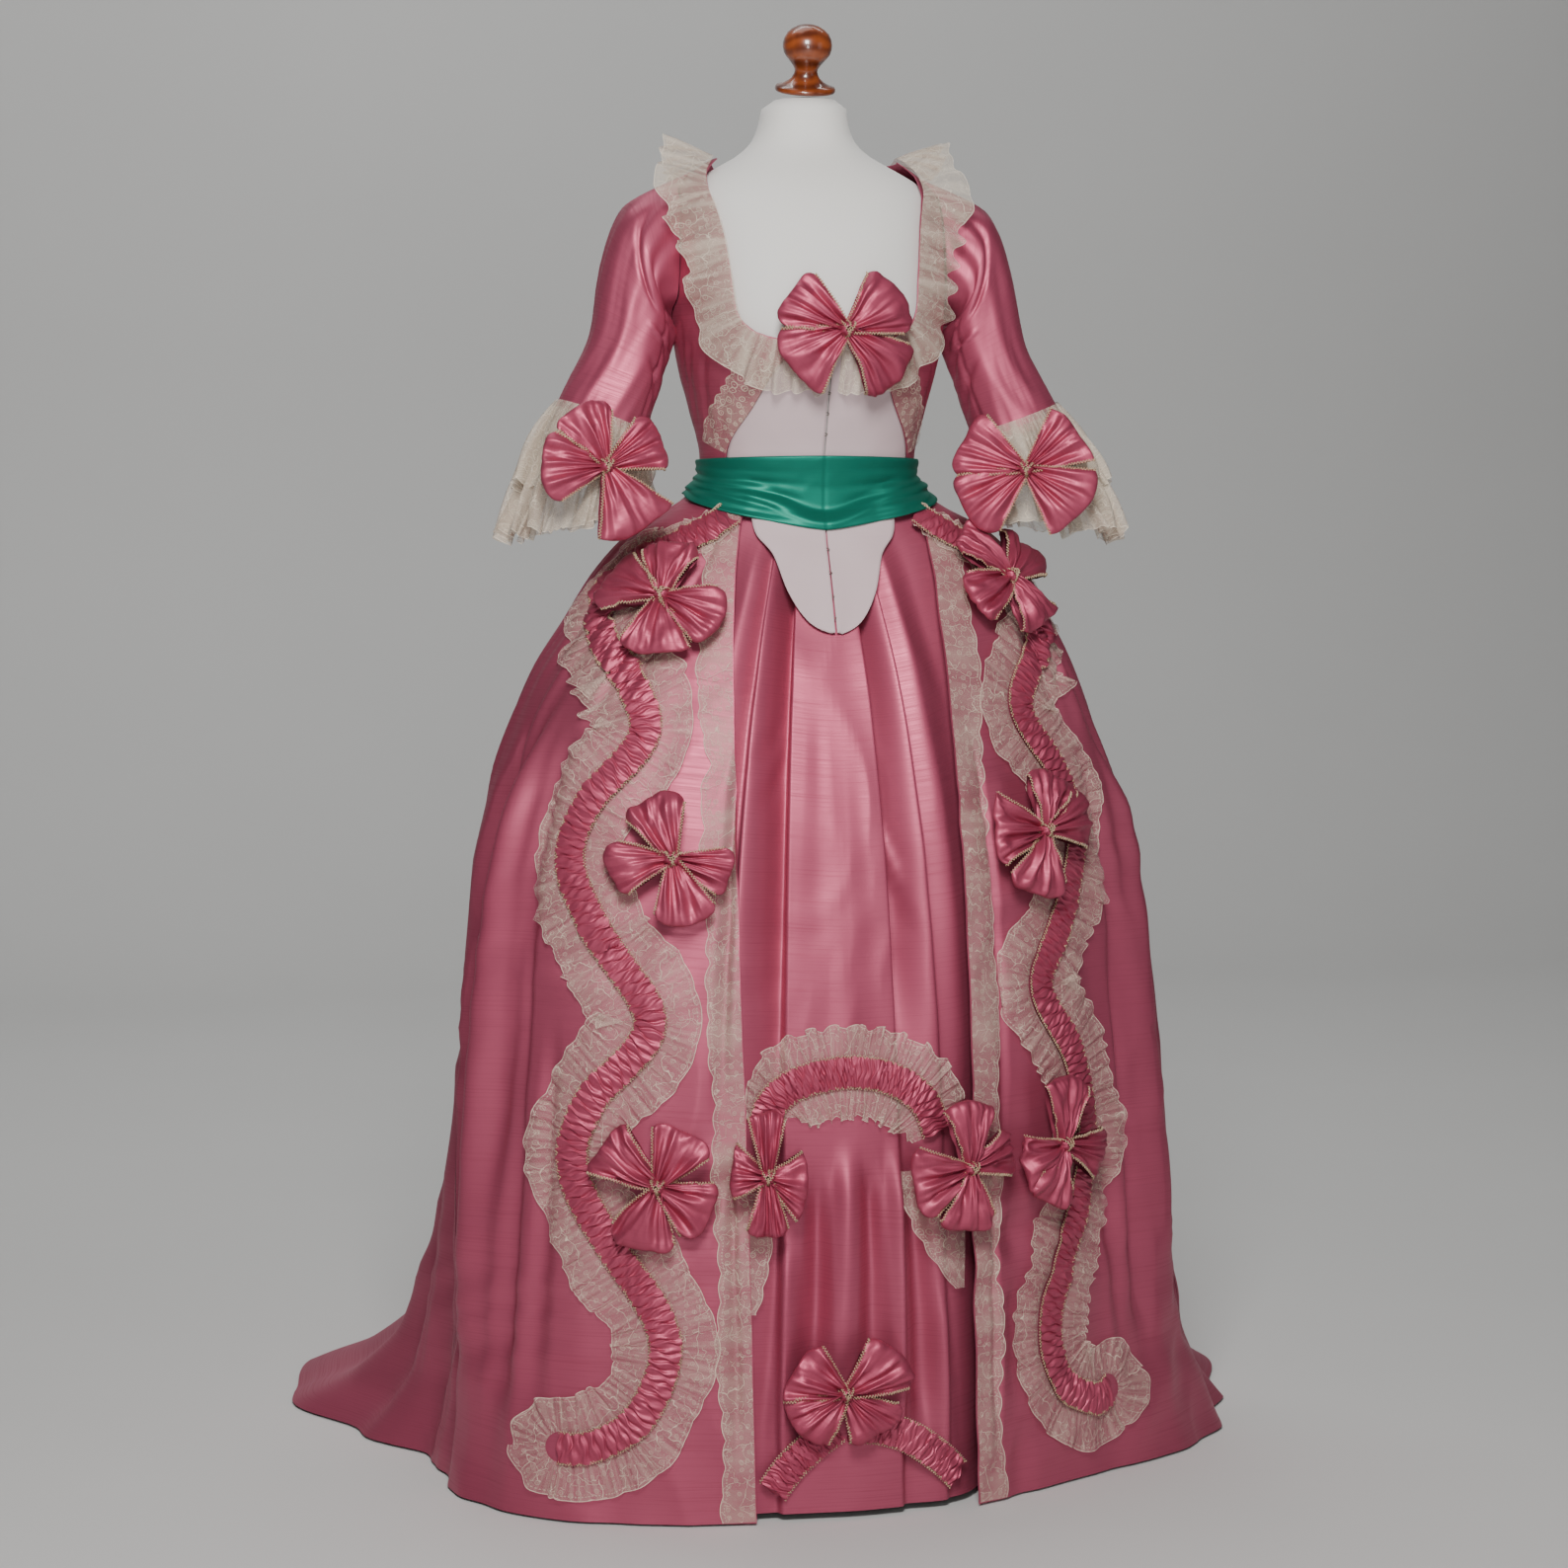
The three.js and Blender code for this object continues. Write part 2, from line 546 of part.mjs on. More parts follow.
// The bodice: two fronts that meet the stomacher, and a back, with open armholes.
const BODICE_ROWS = [1094, 1150, 1190, 1230, 1280, 1298, 1312, 1330, 1380, 1430, 1468, 1490, SHOULDER];
const fromWaist = (b, z) => Math.max(z, waistline(b) + 2);
function bodicePieces() {
  const seam = 0.12;
  for (const [name, side] of SIDES) {
    const front = (u, z) => {
      const b = side * mix(read(FRONT_EDGE, 'bearing', z), 90 - seam - armhole(z), u);
      return [b, fromWaist(b, z)];
    };
    const columns = steps(0, 1, 6);
    add(`bodice_${name}`, 'silk', clothOn(bodice, columns, BODICE_ROWS, 0, SILK_WALL, false, front));
    const half = (u, z) => {
      const b = side * mix(seam, read(FRONT_EDGE, 'bearing', z) - 2.5 * seam, u);
      return [b, fromWaist(b, z)];
    };
    const levels = BODICE_ROWS.filter((z) => z <= 1298);
    add(`stomacher_${name}`, 'stomacher', clothOn(bodice, columns, levels, 0, SILK_WALL, false, half));
    const tab = (u, z) => [side * mix(0.25, read(TAB, 'bearing', z), u), z];
    const drop = TAB.map((row) => row.z).sort((a, b) => a - b);
    add(`tab_${name}`, 'stomacher', clothOn(petticoatFace, steps(0, 1, 4), drop, 5, SILK_WALL, false, tab));
  }
  const back = (u, z) => {
    const edge = 90 + seam + armhole(z);
    const b = mix(edge, 360 - edge, u);
    const low = 16 * smooth((Math.abs(turned(b)) - 105) / 50) * smooth((z - 1440) / (SHOULDER - 1440));
    return [b, fromWaist(b, z) - low];
  };
  add('bodice_back', 'silk', clothOn(bodice, steps(0, 1, 14), BODICE_ROWS, 0, SILK_WALL, false, back));
}

// The sash: a ring over the waist seam, deeper in front, that rests on the skirt's gathers.
function sash() {
  const ring = (extra) => (b, v) => {
    const low = sashline(b);
    const z = mix(low, SASH.top - 4 * smooth(Math.abs(turned(b)) / 120), v);
    const fitted = bodice(b, z);
    const clear = 3 + SASH.thick;
    const over = Math.hypot(fitted.x, fitted.y) + clear;
    const lift = mix(WAIST_LIFT, GOWN_LIFT, smooth((Math.abs(turned(b)) - 30) / 15));
    const out = skirtRadius(b, Math.min(z, waistline(b)), 'back') + lift + clear;
    const resting = smooth((waistline(b) + 22 - z) / 20);
    return polar(b, mix(over, Math.max(over, out), resting) + extra, z);
  };
  add('sash', 'sash', wall(steps(-180, 180, 32), steps(0, 1, 3), ring(0), ring(-SASH.thick), true));
}

// A sleeve, open at the armhole and the cuff, and its two lace ruffles.
const RUFFLES = table(
  ['name', 'from', 'to', 'lift', 'wave'],
  [['lower', 214, 372, 1.4, 11], ['upper', 206, 310, 3.6, 8]],
);
const RUFFLE_WAVES = 8;
function sleeves() {
  for (const [name, side] of SIDES) {
    const surface = sleeve(side);
    const down = [0, 18, 35, 58, 80, 110, 140, 180, SLEEVE_LENGTH];
    add(`sleeve_${name}`, 'silk', clothOn(surface, steps(0, 360, 16), down, 0, SILK_WALL, true));
    for (const { name: layer, from, to, lift, wave } of RUFFLES) {
      const face = (extra) => (angle, t) => {
        const d = from + (to - from) * t * (0.7 + 0.3 * Math.cos(angle * DEG));
        const ripple = wave * t * (1 + Math.cos(RUFFLE_WAVES * angle * DEG));
        const { normal } = frameAt(surface, angle, d);
        return surface(angle, d).addScaledVector(normal, lift + ripple + 4 * t * (layer === 'upper') + extra);
      };
      const columns = steps(0, 360, RUFFLE_WAVES * 3);
      add(`ruffle_${layer}_${name}`, 'lace', wall(columns, steps(0, 1, 2), face(LACE_WALL), face(0), true));
    }
  }
}

// A wave of gathers that grows from a strip's sewn edge to its free one.
const wave = (s, waves) => Math.cos(s * waves * 2 * Math.PI);
const gathers = (base, height, waves) => (s, w) => base + height * w * (0.5 - 0.5 * wave(s, waves));
const ruched = (base, height, waves) => (s, w) => (
  base + height * Math.sin(Math.PI * w) + 0.8 * (1 - wave(s, waves))
);
const scallops = (reach, depth, waves) => (s) => reach + depth * wave(s, waves);

// A ruched silk band over the sewn edges of two gathered laces, all three on one route.
const tapered = (reach, rate) => (s) => reach(s) * Math.min(1, 0.4 + s * rate, 0.45 + (1 - s) * rate);
function trimming(name, surface, rows, side, waves, reach, rate = 10) {
  const route = routeThrough(rows);
  const half = RUCHED_WIDTH / 2;
  const stations = waves * 3;
  const band = { surface, route, stations, near: -half, far: half, thick: SILK_WALL, rows: 2 };
  add(`${name}_band`, 'silk', strip({ ...band, rise: ruched(BAND_LIFT, 4, waves * 1.5) }));
  for (const [edge, sign] of [['outer', -side], ['inner', side]]) {
    const near = sign * (half + SEAM_GAP);
    const far = tapered(scallops(sign * (half + reach), sign * -3, waves), rate);
    const lace = { surface, route, stations, near, far, thick: LACE_WALL };
    add(`${name}_lace_${edge}`, 'lace', strip({ ...lace, rise: gathers(LACE_LIFT, 4.5, waves) }));
  }
}

const SERPENTINES = {
  right: [
    [-65, 1090], [-72, 1078], [-77, 1056], [-74, 998], [-60, 936], [-50.5, 870], [-57.5, 788],
    [-58.5, 726], [-50.7, 638], [-41.6, 554], [-50.5, 470], [-53, 402], [-49, 332], [-39.3, 243],
    [-37.3, 186], [-41.5, 119], [-49, 86], [-53.7, 83],
  ],
  left: [
    [66, 1092], [72, 1078], [75, 1054], [74, 1010], [69.6, 962], [56.5, 891], [62, 817],
    [64.3, 736], [57, 645], [49.5, 574], [58, 492], [61.6, 396], [57.8, 310], [49.6, 192],
    [51.7, 125], [60.3, 90], [65, 96],
  ],
};
const ARCH = [
  [-20.5, 440], [-19, 464], [-15, 482], [-8, 493], [-1, 496], [6, 491], [12, 478], [17, 456], [19.5, 424],
];
const SWAGS = {
  right: [[-18.5, 36], [-15, 62], [-10, 86], [-5, 104]],
  left: [[-2, 104], [5, 100], [12, 86], [19, 60], [24, 36]],
};
const TAILS = {
  right: { rows: [[-20.5, 366], [-20, 300], [-19, 244]], reach: 22 },
  left: { rows: [[22, 366], [25, 300], [25.5, 236]], reach: 46 },
};
const NECK_EDGE = [
  [-4, 1301], [-16, 1300], [-29, 1306], [-39, 1324], [-45, 1376], [-51.5, 1430], [-62.5, 1474],
  [-80, 1507], [-110, 1504], [-145, 1492], [-180, 1490],
];

function laces() {
  for (const [name, side] of SIDES) {
    trimming(`serpentine_${name}`, gown, SERPENTINES[name], side, 12, SERPENTINE_LACE);
    const downEdge = (s) => {
      const z = mix(sashline(side * 45) - 4, HEM_HEIGHT + 2, s);
      return new THREE.Vector2(side * read(SKIRT_EDGE[name], 'bearing', z), z);
    };
    const flat = { surface: gown, route: downEdge, stations: 18, near: -side, thick: LACE_WALL, rows: 2 };
    const far = scallops(-side * FRONT_LACE, side * 2.5, 6);
    add(`front_lace_${name}`, 'lace', strip({ ...flat, far, rise: () => 1.6 }));

    const bodiceEdge = (s) => {
      const z = mix(1272, SASH.top + 3, s);
      return new THREE.Vector2(side * read(FRONT_EDGE, 'bearing', z), z);
    };
    const edging = { surface: bodice, route: bodiceEdge, stations: 12, near: 0, thick: LACE_WALL, rows: 2 };
    const reach = scallops(-side * STOMACHER_LACE, side * 2, 3);
    add(`stomacher_lace_${name}`, 'lace', strip({ ...edging, far: reach, rise: () => 1.6 }));

    const { rows, reach: wide } = TAILS[name];
    const hanging = { surface: petticoatFace, route: routeThrough(rows), stations: 8, near: 0 };
    const tail = { ...hanging, thick: LACE_WALL, far: (s) => side * wide * (1 - 0.75 * s) };
    add(`petticoat_lace_${name}`, 'lace', strip({ ...tail, rise: gathers(1, 3, 2) }));

    const swag = { surface: petticoatFace, route: routeThrough(SWAGS[name]), stations: 10 };
    const across = { near: -RUCHED_WIDTH / 2, far: RUCHED_WIDTH / 2, thick: SILK_WALL, rows: 2 };
    add(`swag_${name}`, 'silk', strip({ ...swag, ...across, rise: ruched(1.5, 3.5, 5) }));
  }
  trimming('arch', petticoatFace, ARCH, LEFT, 6, 32, 2.2);

  // The neckline's ruffle, from under the chest bow round the back and to the bow again.
  const mirrored = NECK_EDGE.slice(0, -1).reverse().map(([b, z]) => [-360 - b, z]);
  const round = routeThrough([...NECK_EDGE, ...mirrored]);
  const stands = (s) => (
    smooth(1 - Math.abs(Math.abs(turned(round(s).x)) - STANDS.bearing) / STANDS.half)
  );
  const edge = scallops(-NECK_LACE, 2.5, 18);
  const far = (s) => edge(s) * (1 - STANDS.drawn * stands(s));
  const neck = { surface: bodice, route: round, stations: 54, near: 2, far };
  const full = gathers(4.6, 7, 18);
  const rise = (s, w) => full(s, w) + STANDS.off * stands(s) * w;
  add('neck_ruffle', 'lace', strip({ ...neck, thick: LACE_WALL, rise, rows: 2 }));
}

// Bows: the place of each knot, the size over the loops and their turn.
const SKIRT_BOWS = table(
  ['name', 'bearing', 'z', 'wide', 'tall', 'turn'],
  [
    ['right_top', -56, 1006, 142, 150, 15], ['right_middle', -40, 728, 150, 138, -10],
    ['right_bottom', -39, 378, 140, 150, 20], ['left_top', 64, 1026, 140, 130, 0],
    ['left_middle', 51.5, 749, 140, 150, 10], ['left_bottom', 50.5, 396, 130, 150, 30],
    ['petticoat_right', -20, 388, 84, 150, 45], ['petticoat_left', 23.5, 386, 130, 150, 25],
  ],
);
const SLEEVE_BOWS = { right: 102, left: 92 };
function bows() {
  for (const { name, ...place } of SKIRT_BOWS) {
    add(`bow_${name}`, 'silk', bow(gown, { ...place, lift: BOW_LIFT }));
  }
  add('bow_petticoat_hem', 'silk', bow(petticoatFace, { bearing: -3.6, z: 145, lift: 11, tall: 132 }));
  add('bow_chest', 'silk', bow(bodice, { bearing: 4, z: 1316, lift: BOW_LIFT }));
  for (const [name, side] of SIDES) {
    const cuff = { bearing: SLEEVE_BOWS[name], z: 262, lift: 36, wide: 130, tall: 128 };
    add(`bow_sleeve_${name}`, 'silk', bow(sleeve(side), cuff));
  }
}

dressForm();
skirts();
bodicePieces();
sash();
sleeves();
laces();
bows();

export default model;
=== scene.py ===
# %% [markdown]
# # An English gown on its dress form
# The gown is an open robe of pink silk taffeta worn over a petticoat of the same silk, closed in
# front by a pale stomacher and a green sash, and trimmed with lace, gathered ribbon and bows.
# The rigid model gives every piece its place and size. This script dresses it: each cloth piece
# is drawn again as a thin shell on the same surface, with its creases, gathers and trimmings.

# %% Load the frame
import math

import bpy
import numpy as np
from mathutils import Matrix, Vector


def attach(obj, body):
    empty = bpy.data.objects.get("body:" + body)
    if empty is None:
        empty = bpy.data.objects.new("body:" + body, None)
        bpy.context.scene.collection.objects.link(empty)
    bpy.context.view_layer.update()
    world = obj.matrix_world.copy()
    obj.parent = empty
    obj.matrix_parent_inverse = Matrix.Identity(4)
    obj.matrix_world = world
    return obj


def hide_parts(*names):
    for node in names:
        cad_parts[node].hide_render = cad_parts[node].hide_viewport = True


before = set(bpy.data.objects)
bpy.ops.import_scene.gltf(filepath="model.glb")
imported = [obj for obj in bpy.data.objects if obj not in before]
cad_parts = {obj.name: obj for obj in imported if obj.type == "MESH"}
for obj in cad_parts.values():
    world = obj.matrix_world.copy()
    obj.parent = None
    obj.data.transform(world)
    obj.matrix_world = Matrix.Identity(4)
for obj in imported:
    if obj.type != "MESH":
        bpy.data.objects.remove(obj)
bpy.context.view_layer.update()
print("nodes in the frame:", len(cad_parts))

# %% [markdown]
# ## Tables and curves
# Cloth forms are easiest to keep in hand as short tables: one row for each height, one column for
# each size. A curve through the rows fills in the heights between. A monotone curve is used, as
# it never swings past its rows. All tables are in millimetres and degrees, and the meshes are
# scaled to metres as they are made.

# %% Tables and the curve through them
MM = 0.001
SIDES = (("right", -1), ("left", 1))


def table(columns, rows):
    """Named columns from rows, sorted by their first column."""
    rows = sorted(rows)
    return {name: np.array(values, float) for name, values in zip(columns.split(), zip(*rows))}


def mix(a, b, t):
    return a + (b - a) * t


def smooth(t):
    t = np.clip(t, 0, 1)
    return t * t * (3 - 2 * t)


def read(rows, column, z):
    """A column at the height z, on a smooth curve that stays between its rows."""
    at, values = rows["z"], rows[column]
    rate = np.diff(values) / np.diff(at)
    before, after = rate[:-1], rate[1:]
    same_way = before * after > 0
    total = np.where(same_way, before + after, 1)
    slope = np.concatenate([rate[:1], np.where(same_way, 2 * before * after / total, 0), rate[-1:]])
    k = np.clip(np.searchsorted(at, z, side="right") - 1, 0, len(at) - 2)
    width = at[k + 1] - at[k]
    t = np.clip((z - at[k]) / width, 0, 1)
    bend = slope[k] * t * (1 - t) ** 2 - slope[k + 1] * t ** 2 * (1 - t)
    return mix(values[k], values[k + 1], smooth(t)) + width * bend


SKIRT = table("z right left front back train square_right square_left sweep under", [
    (1140, 124, 124, 92, 98, 124, 2.0, 2.0, 0, 94),
    (1118, 150, 154, 97, 116, 150, 2.0, 2.0, 0, 104),
    (1090, 194, 204, 106, 138, 196, 2.1, 2.0, 0, 124),
    (1040, 240, 252, 132, 160, 240, 2.2, 2.0, 0, 146),
    (985, 276, 286, 158, 190, 276, 2.3, 2.0, 4, 172),
    (930, 312, 318, 182, 220, 312, 2.3, 1.9, 8, 200),
    (860, 342, 352, 206, 258, 342, 2.4, 1.8, 12, 232),
    (780, 366, 386, 228, 300, 366, 2.5, 1.75, 16, 266),
    (680, 384, 408, 248, 350, 386, 2.6, 1.7, 20, 302),
    (540, 396, 434, 268, 420, 404, 2.7, 1.65, 26, 344),
    (380, 404, 456, 280, 490, 424, 2.7, 1.6, 32, 378),
    (230, 410, 474, 287, 552, 452, 2.8, 1.6, 38, 398),
    (120, 416, 492, 291, 610, 486, 2.8, 1.6, 42, 408),
    (50, 422, 516, 293, 690, 550, 2.8, 1.6, 46, 412),
    (18, 428, 528, 294, 764, 612, 2.8, 1.6, 48, 414),
    (0, 432, 536, 295, 806, 646, 2.8, 1.6, 48, 414),
])
FORM = table("z half front back set", [
    (1585, 36, 36, 36, 16), (1576, 49, 47, 48, 18), (1560, 52, 50, 51, 22), (1542, 58, 53, 58, 24),
    (1526, 72, 60, 68, 24), (1510, 98, 70, 84, 20), (1490, 132, 86, 96, 16),
    (1468, 149, 98, 104, 10), (1430, 152, 114, 108, 4), (1380, 152, 128, 108, 0),
    (1330, 150, 138, 106, 0), (1280, 143, 134, 100, 0), (1230, 130, 114, 94, 0),
    (1174, 117, 94, 90, 0), (1130, 116, 87, 90, 0), (1080, 134, 92, 102, 0),
    (1010, 158, 104, 120, 0), (920, 162, 106, 124, 0), (820, 150, 98, 112, 0),
])
FRONT_EDGE = table("z bearing", [
    (1094, 66), (1174, 61), (1230, 39), (1275, 24), (1298, 16), (1312, 33), (1332, 41),
    (1380, 46), (1430, 52), (1474, 62), (1508, 77),
])
SKIRT_EDGE = {
    "right": table("z bearing", [
        (1140, 49), (1065, 41.5), (985, 36), (870, 31), (700, 27), (396, 23.4), (0, 21),
    ]),
    "left": table("z bearing", [
        (1140, 60), (1109, 55), (1040, 44.5), (976, 39), (855, 33.5), (692, 30.2), (528, 28.8),
        (0, 27.2),
    ]),
}
TAB = table("z bearing", [
    (1102, 44), (1093, 42), (1060, 28), (1016, 19), (988, 11.5), (978, 6.5), (974, 2.5),
])
SLEEVE = table("z x y height turn high deep", [
    (0, 168, 4, 1408, 98, 74, 60), (35, 190, 3, 1396, 76, 72, 62), (80, 199, 0, 1354, 46, 60, 60),
    (140, 214, -8, 1288, 25, 48, 54), (200, 240, -16, 1226, 20, 52, 52),
    (225, 249, -19, 1203, 20, 54, 53),
])
print("hem, side to side:", SKIRT["right"][0] + SKIRT["left"][0], "mm")

# %% [markdown]
# ## The surfaces that carry the cloth
# Each garment piece is a patch of a smooth surface, found from two numbers: a bearing round the
# body, in degrees from the front towards the wearer's left, and a height. Writing the surfaces as
# functions, and not as meshes, lets a trimming be sewn to any place on them later. NumPy works
# them out for a whole grid of places at once.

# %% Ovals, places and the skirt's form
WAIST = {"front": 1094, "side": 1136, "back": 1130}
GOWN_LIFT, WAIST_LIFT, UNDER_GOWN, PETTICOAT_HALF = 10, 5, 22, 410
BODICE_LIFT, ARMHOLE_TOP, UNDERARM, SHOULDER = 8, 1474, 1330, 1508
ARMHOLE_END, ARMHOLE_HALF = ARMHOLE_TOP + 20, 13
HEM_HEIGHT, PETTICOAT_HEM = 3, 9
SWEPT, SWEPT_HALF = 66, 52
SASH_TOP, SASH_THICK, SASH_BELOW, SASH_LEVEL = 1175, 2, 3, 88
BACK_PLEATS, BACK_PLEAT_DEPTH, BACK_FROM, FOLDS_OPEN = 10, 24, 104, 700
# Knife tucks of the petticoat: the bearing of each edge, its reach and its depth.
TUCKS = ((-16, -11.5, 33), (10, 11.5, 33), (-27.5, -9, 16), (21.5, 9, 15))
# Wide folds of the robe: bearing, half width and depth.
FOLDS = ((-98, 6, 16), (-84, 6, 12), (-68, 6, 6), (-46, 6, 4), (40, 6, 4), (66, 7, 5), (84, 7, 14),
         (98, 6, 16))


def oval(half, depth, square, bearing):
    across = np.abs(np.sin(np.radians(bearing))) / half
    along = np.abs(np.cos(np.radians(bearing))) / depth
    return (across ** square + along ** square) ** (-1 / square)


def turned(bearing):
    return (np.asarray(bearing, float) + 180) % 360 - 180


def place(x, y, z):
    return np.stack(np.broadcast_arrays(x, y, z), axis=-1).astype(float)


def polar(bearing, radius, z):
    angle = np.radians(bearing)
    return place(radius * np.sin(angle), -radius * np.cos(angle), z)


def dent(bearing, rows):
    """Soft troughs round the skirt: the bearing, half width and depth of each."""
    return sum(depth * smooth(1 - np.abs(bearing - centre) / half) for centre, half, depth in rows)


def tucked(bearing, rows):
    """Knife pleats: each drops sharply at its edge and rises again over its reach, which has a sign."""
    total = 0.0
    for edge, reach, depth in rows:
        t = (bearing - edge) / reach
        total = total + depth * smooth(t / 0.16) * (1 - smooth((t - 0.12) / 0.88))
    return total


def skirt_radius(bearing, z, rear="back"):
    """The skirt's smooth form; rear names the column that gives its depth behind."""
    b = turned(bearing)
    hip = np.where(b < 0, read(SKIRT, "right", z), read(SKIRT, "left", z))
    half = hip if rear == "back" else np.minimum(hip, PETTICOAT_HALF)
    swept = read(SKIRT, "sweep", z) * smooth(1 - np.abs(b - SWEPT) / SWEPT_HALF)
    square = np.where(b < 0, read(SKIRT, "square_right", z), read(SKIRT, "square_left", z))
    before = oval(half, read(SKIRT, "front", z), square, b)
    behind = read(SKIRT, rear, z)
    widest = read(SKIRT, "train", z) if rear == "back" else np.minimum(half, behind + 20)
    train = mix(half, widest, smooth((np.abs(b) - 90) / 40))
    corner = mix(2, 2.6, smooth((400 - z) / 400)) if rear == "back" else 2.2
    return np.where(np.abs(b) <= 90, before, oval(train, behind, corner, b)) - swept


def waistline(bearing):
    b = np.abs(turned(bearing))
    front = mix(WAIST["side"], WAIST["front"], smooth(1 - b / 62))
    return np.where(b < 90, front, mix(WAIST["side"], WAIST["back"], smooth((b - 90) / 60)))


def sashline(bearing):
    """The sash's lower edge dips below the waist seam in front and meets it past the sides."""
    b = np.abs(turned(bearing))
    dip = (WAIST["side"] - WAIST["front"]) * np.minimum(1, b / SASH_LEVEL) ** 1.35
    return np.where(b < SASH_LEVEL, WAIST["front"] - SASH_BELOW + dip, waistline(b) - SASH_BELOW)


def below_waist(z, reach):
    """From 0 at the waist to 1 at reach below it."""
    return smooth((WAIST["side"] - z) / reach)


print("hem ahead of the axis:", float(skirt_radius(np.array(0.0), np.array(3.0)).round()), "mm")

# %% [markdown]
# ## Creases
# Taffeta is stiff and light: it stands off the body in wide soft folds, and it keeps small sharp
# dents where it was handled. A cloth simulation could find such folds, but it would not put them
# where this gown has them. So the main creases are listed one by one, each with its own ends, width
# and depth, and only the faint crumple between them comes from a sum of waves with a fixed seed.

# %% Listed creases and faint crumple
def creased(rows, bearing, z):
    """Soft troughs and ridges. Each row runs from (bearing, z) at its top to (bearing, z) below."""
    total = 0.0
    for top, top_z, low, low_z, half, depth, sway in rows:
        t = (top_z - z) / (top_z - low_z)
        centre = mix(top, low, t) + sway * np.sin(math.pi * np.clip(t, 0, 1))
        spread = half * mix(0.6, 1.15, np.clip(t, 0, 1))
        across = smooth(1 - np.abs(turned(bearing - centre)) / spread)
        total = total + depth * across * smooth(t / 0.22) * smooth((1 - t) / 0.3)
    return total


def waves(x, y, size, seed, count=6):
    """A sum of waves in all directions, about size long, from -1 to 1 or so."""
    random = np.random.default_rng(seed)
    total = 0.0
    for _ in range(count):
        heading, phase = random.uniform(0, math.pi), random.uniform(0, 2 * math.pi)
        length = size * random.uniform(0.7, 1.5)
        ahead = x * math.cos(heading) + y * math.sin(heading)
        total = total + np.sin(ahead * 2 * math.pi / length + phase)
    return total / math.sqrt(count)


def crumple(x, y, size, seed):
    """Small ridges that wander, as handled taffeta has."""
    drift = waves(x, y, size * 3, seed + 50) * size * 0.4
    return 0.5 - np.abs(waves(x + drift, y - drift, size, seed))


def zigzag(x):
    """A wave of straight folds with crisp edges, from -1 to 1."""
    return np.arcsin(0.98 * np.sin(x)) * 2 / math.pi


def wander(s, count, seed):
    """count even waves round 0 to 1, made uneven in pace."""
    random = np.random.default_rng(seed)
    total = s * count
    for k in (2, 3, 5, 7):
        total = total + random.uniform(0.1, 0.45) * np.sin(2 * math.pi * (k * s + random.uniform()))
    return total * 2 * math.pi


# Millimetres of cloth in a degree, on the skirt, the bodice and a sleeve.
DEGREE_WIDTH, BODICE_DEGREE, SLEEVE_DEGREE = 6.0, 2.4, 1.5
CREASE_DEPTH = 2.6
# Each crease: bearing and z at its top, the same at its foot, half width, depth, sway.
ROBE_CREASES = (
    # wearer's right front and side
    (-50, 1105, -60, 860, 3.5, -5, 1), (-57, 1100, -70, 760, 3.2, -6, 2), (-66, 1110, -82, 700, 4, -7, 1),
    (-61, 1100, -74, 900, 2.2, 3, 0), (-74, 1115, -92, 560, 4.5, -9, 2), (-70, 1110, -86, 760, 2.5, 4, 0),
    (-82, 1118, -104, 420, 5, -9, -2), (-79, 1112, -97, 700, 2.6, 4, 1), (-66, 900, -72, 300, 4.5, -4, 2),
    (-76, 820, -81, 120, 4, -6, -1), (-58, 560, -60, 60, 3.4, -3, 1), (-88, 700, -93, 30, 4.5, -8, 1),
    (-72, 960, -77, 40, 5, 7, 0.5), (-80, 900, -85, 20, 4, -8, 0.5), (-65, 700, -67, 40, 4, -6, 1),
    (-60, 1060, -67, 800, 3, 5, 1),
    (-30, 900, -29, 420, 2.2, -2.5, 0.6), (-27, 420, -25, 40, 2.0, -2.5, 0.4),
    # wearer's left front and side
    (62, 1100, 70, 840, 3, -5, 0), (70, 1112, 84, 720, 3.6, -7, 1), (76, 1115, 93, 600, 4, -8, 2),
    (66, 1105, 77, 880, 2, 3, 0), (82, 1118, 104, 420, 5, -9, 0), (73, 975, 70, 900, 1.6, -9, 1.4),
    (70, 980, 66, 912, 1.2, 4, 1), (70, 880, 76, 200, 4.5, -6, 2), (84, 700, 92, 40, 4.5, -8, -1),
    (66, 420, 72, 40, 3.5, -4, 1), (40, 880, 38, 380, 2.2, -2.5, 0.5), (34, 420, 33, 30, 2.0, -3, 0.5),
    (79, 930, 83, 60, 5, 7, 0.5), (87, 880, 91, 30, 4, -8, 0.5), (72, 640, 75, 30, 4, -6, 1),
    (68, 1070, 76, 820, 3, 5, 1),
)
HANDLED = (
    (-48, 640, -57, 610, 2.5, -1.6, 0), (-64, 520, -70, 545, 3, -1.6, 0), (46, 500, 52, 470, 2, -1.4, 0),
    (78, 520, 85, 480, 3, -2, 0), (-84, 420, -92, 380, 3, -2, 0), (150, 760, 158, 690, 4, -3, 0),
    (-140, 620, -149, 560, 4, -3, 0), (176, 540, 170, 470, 4, -3, 0),
)
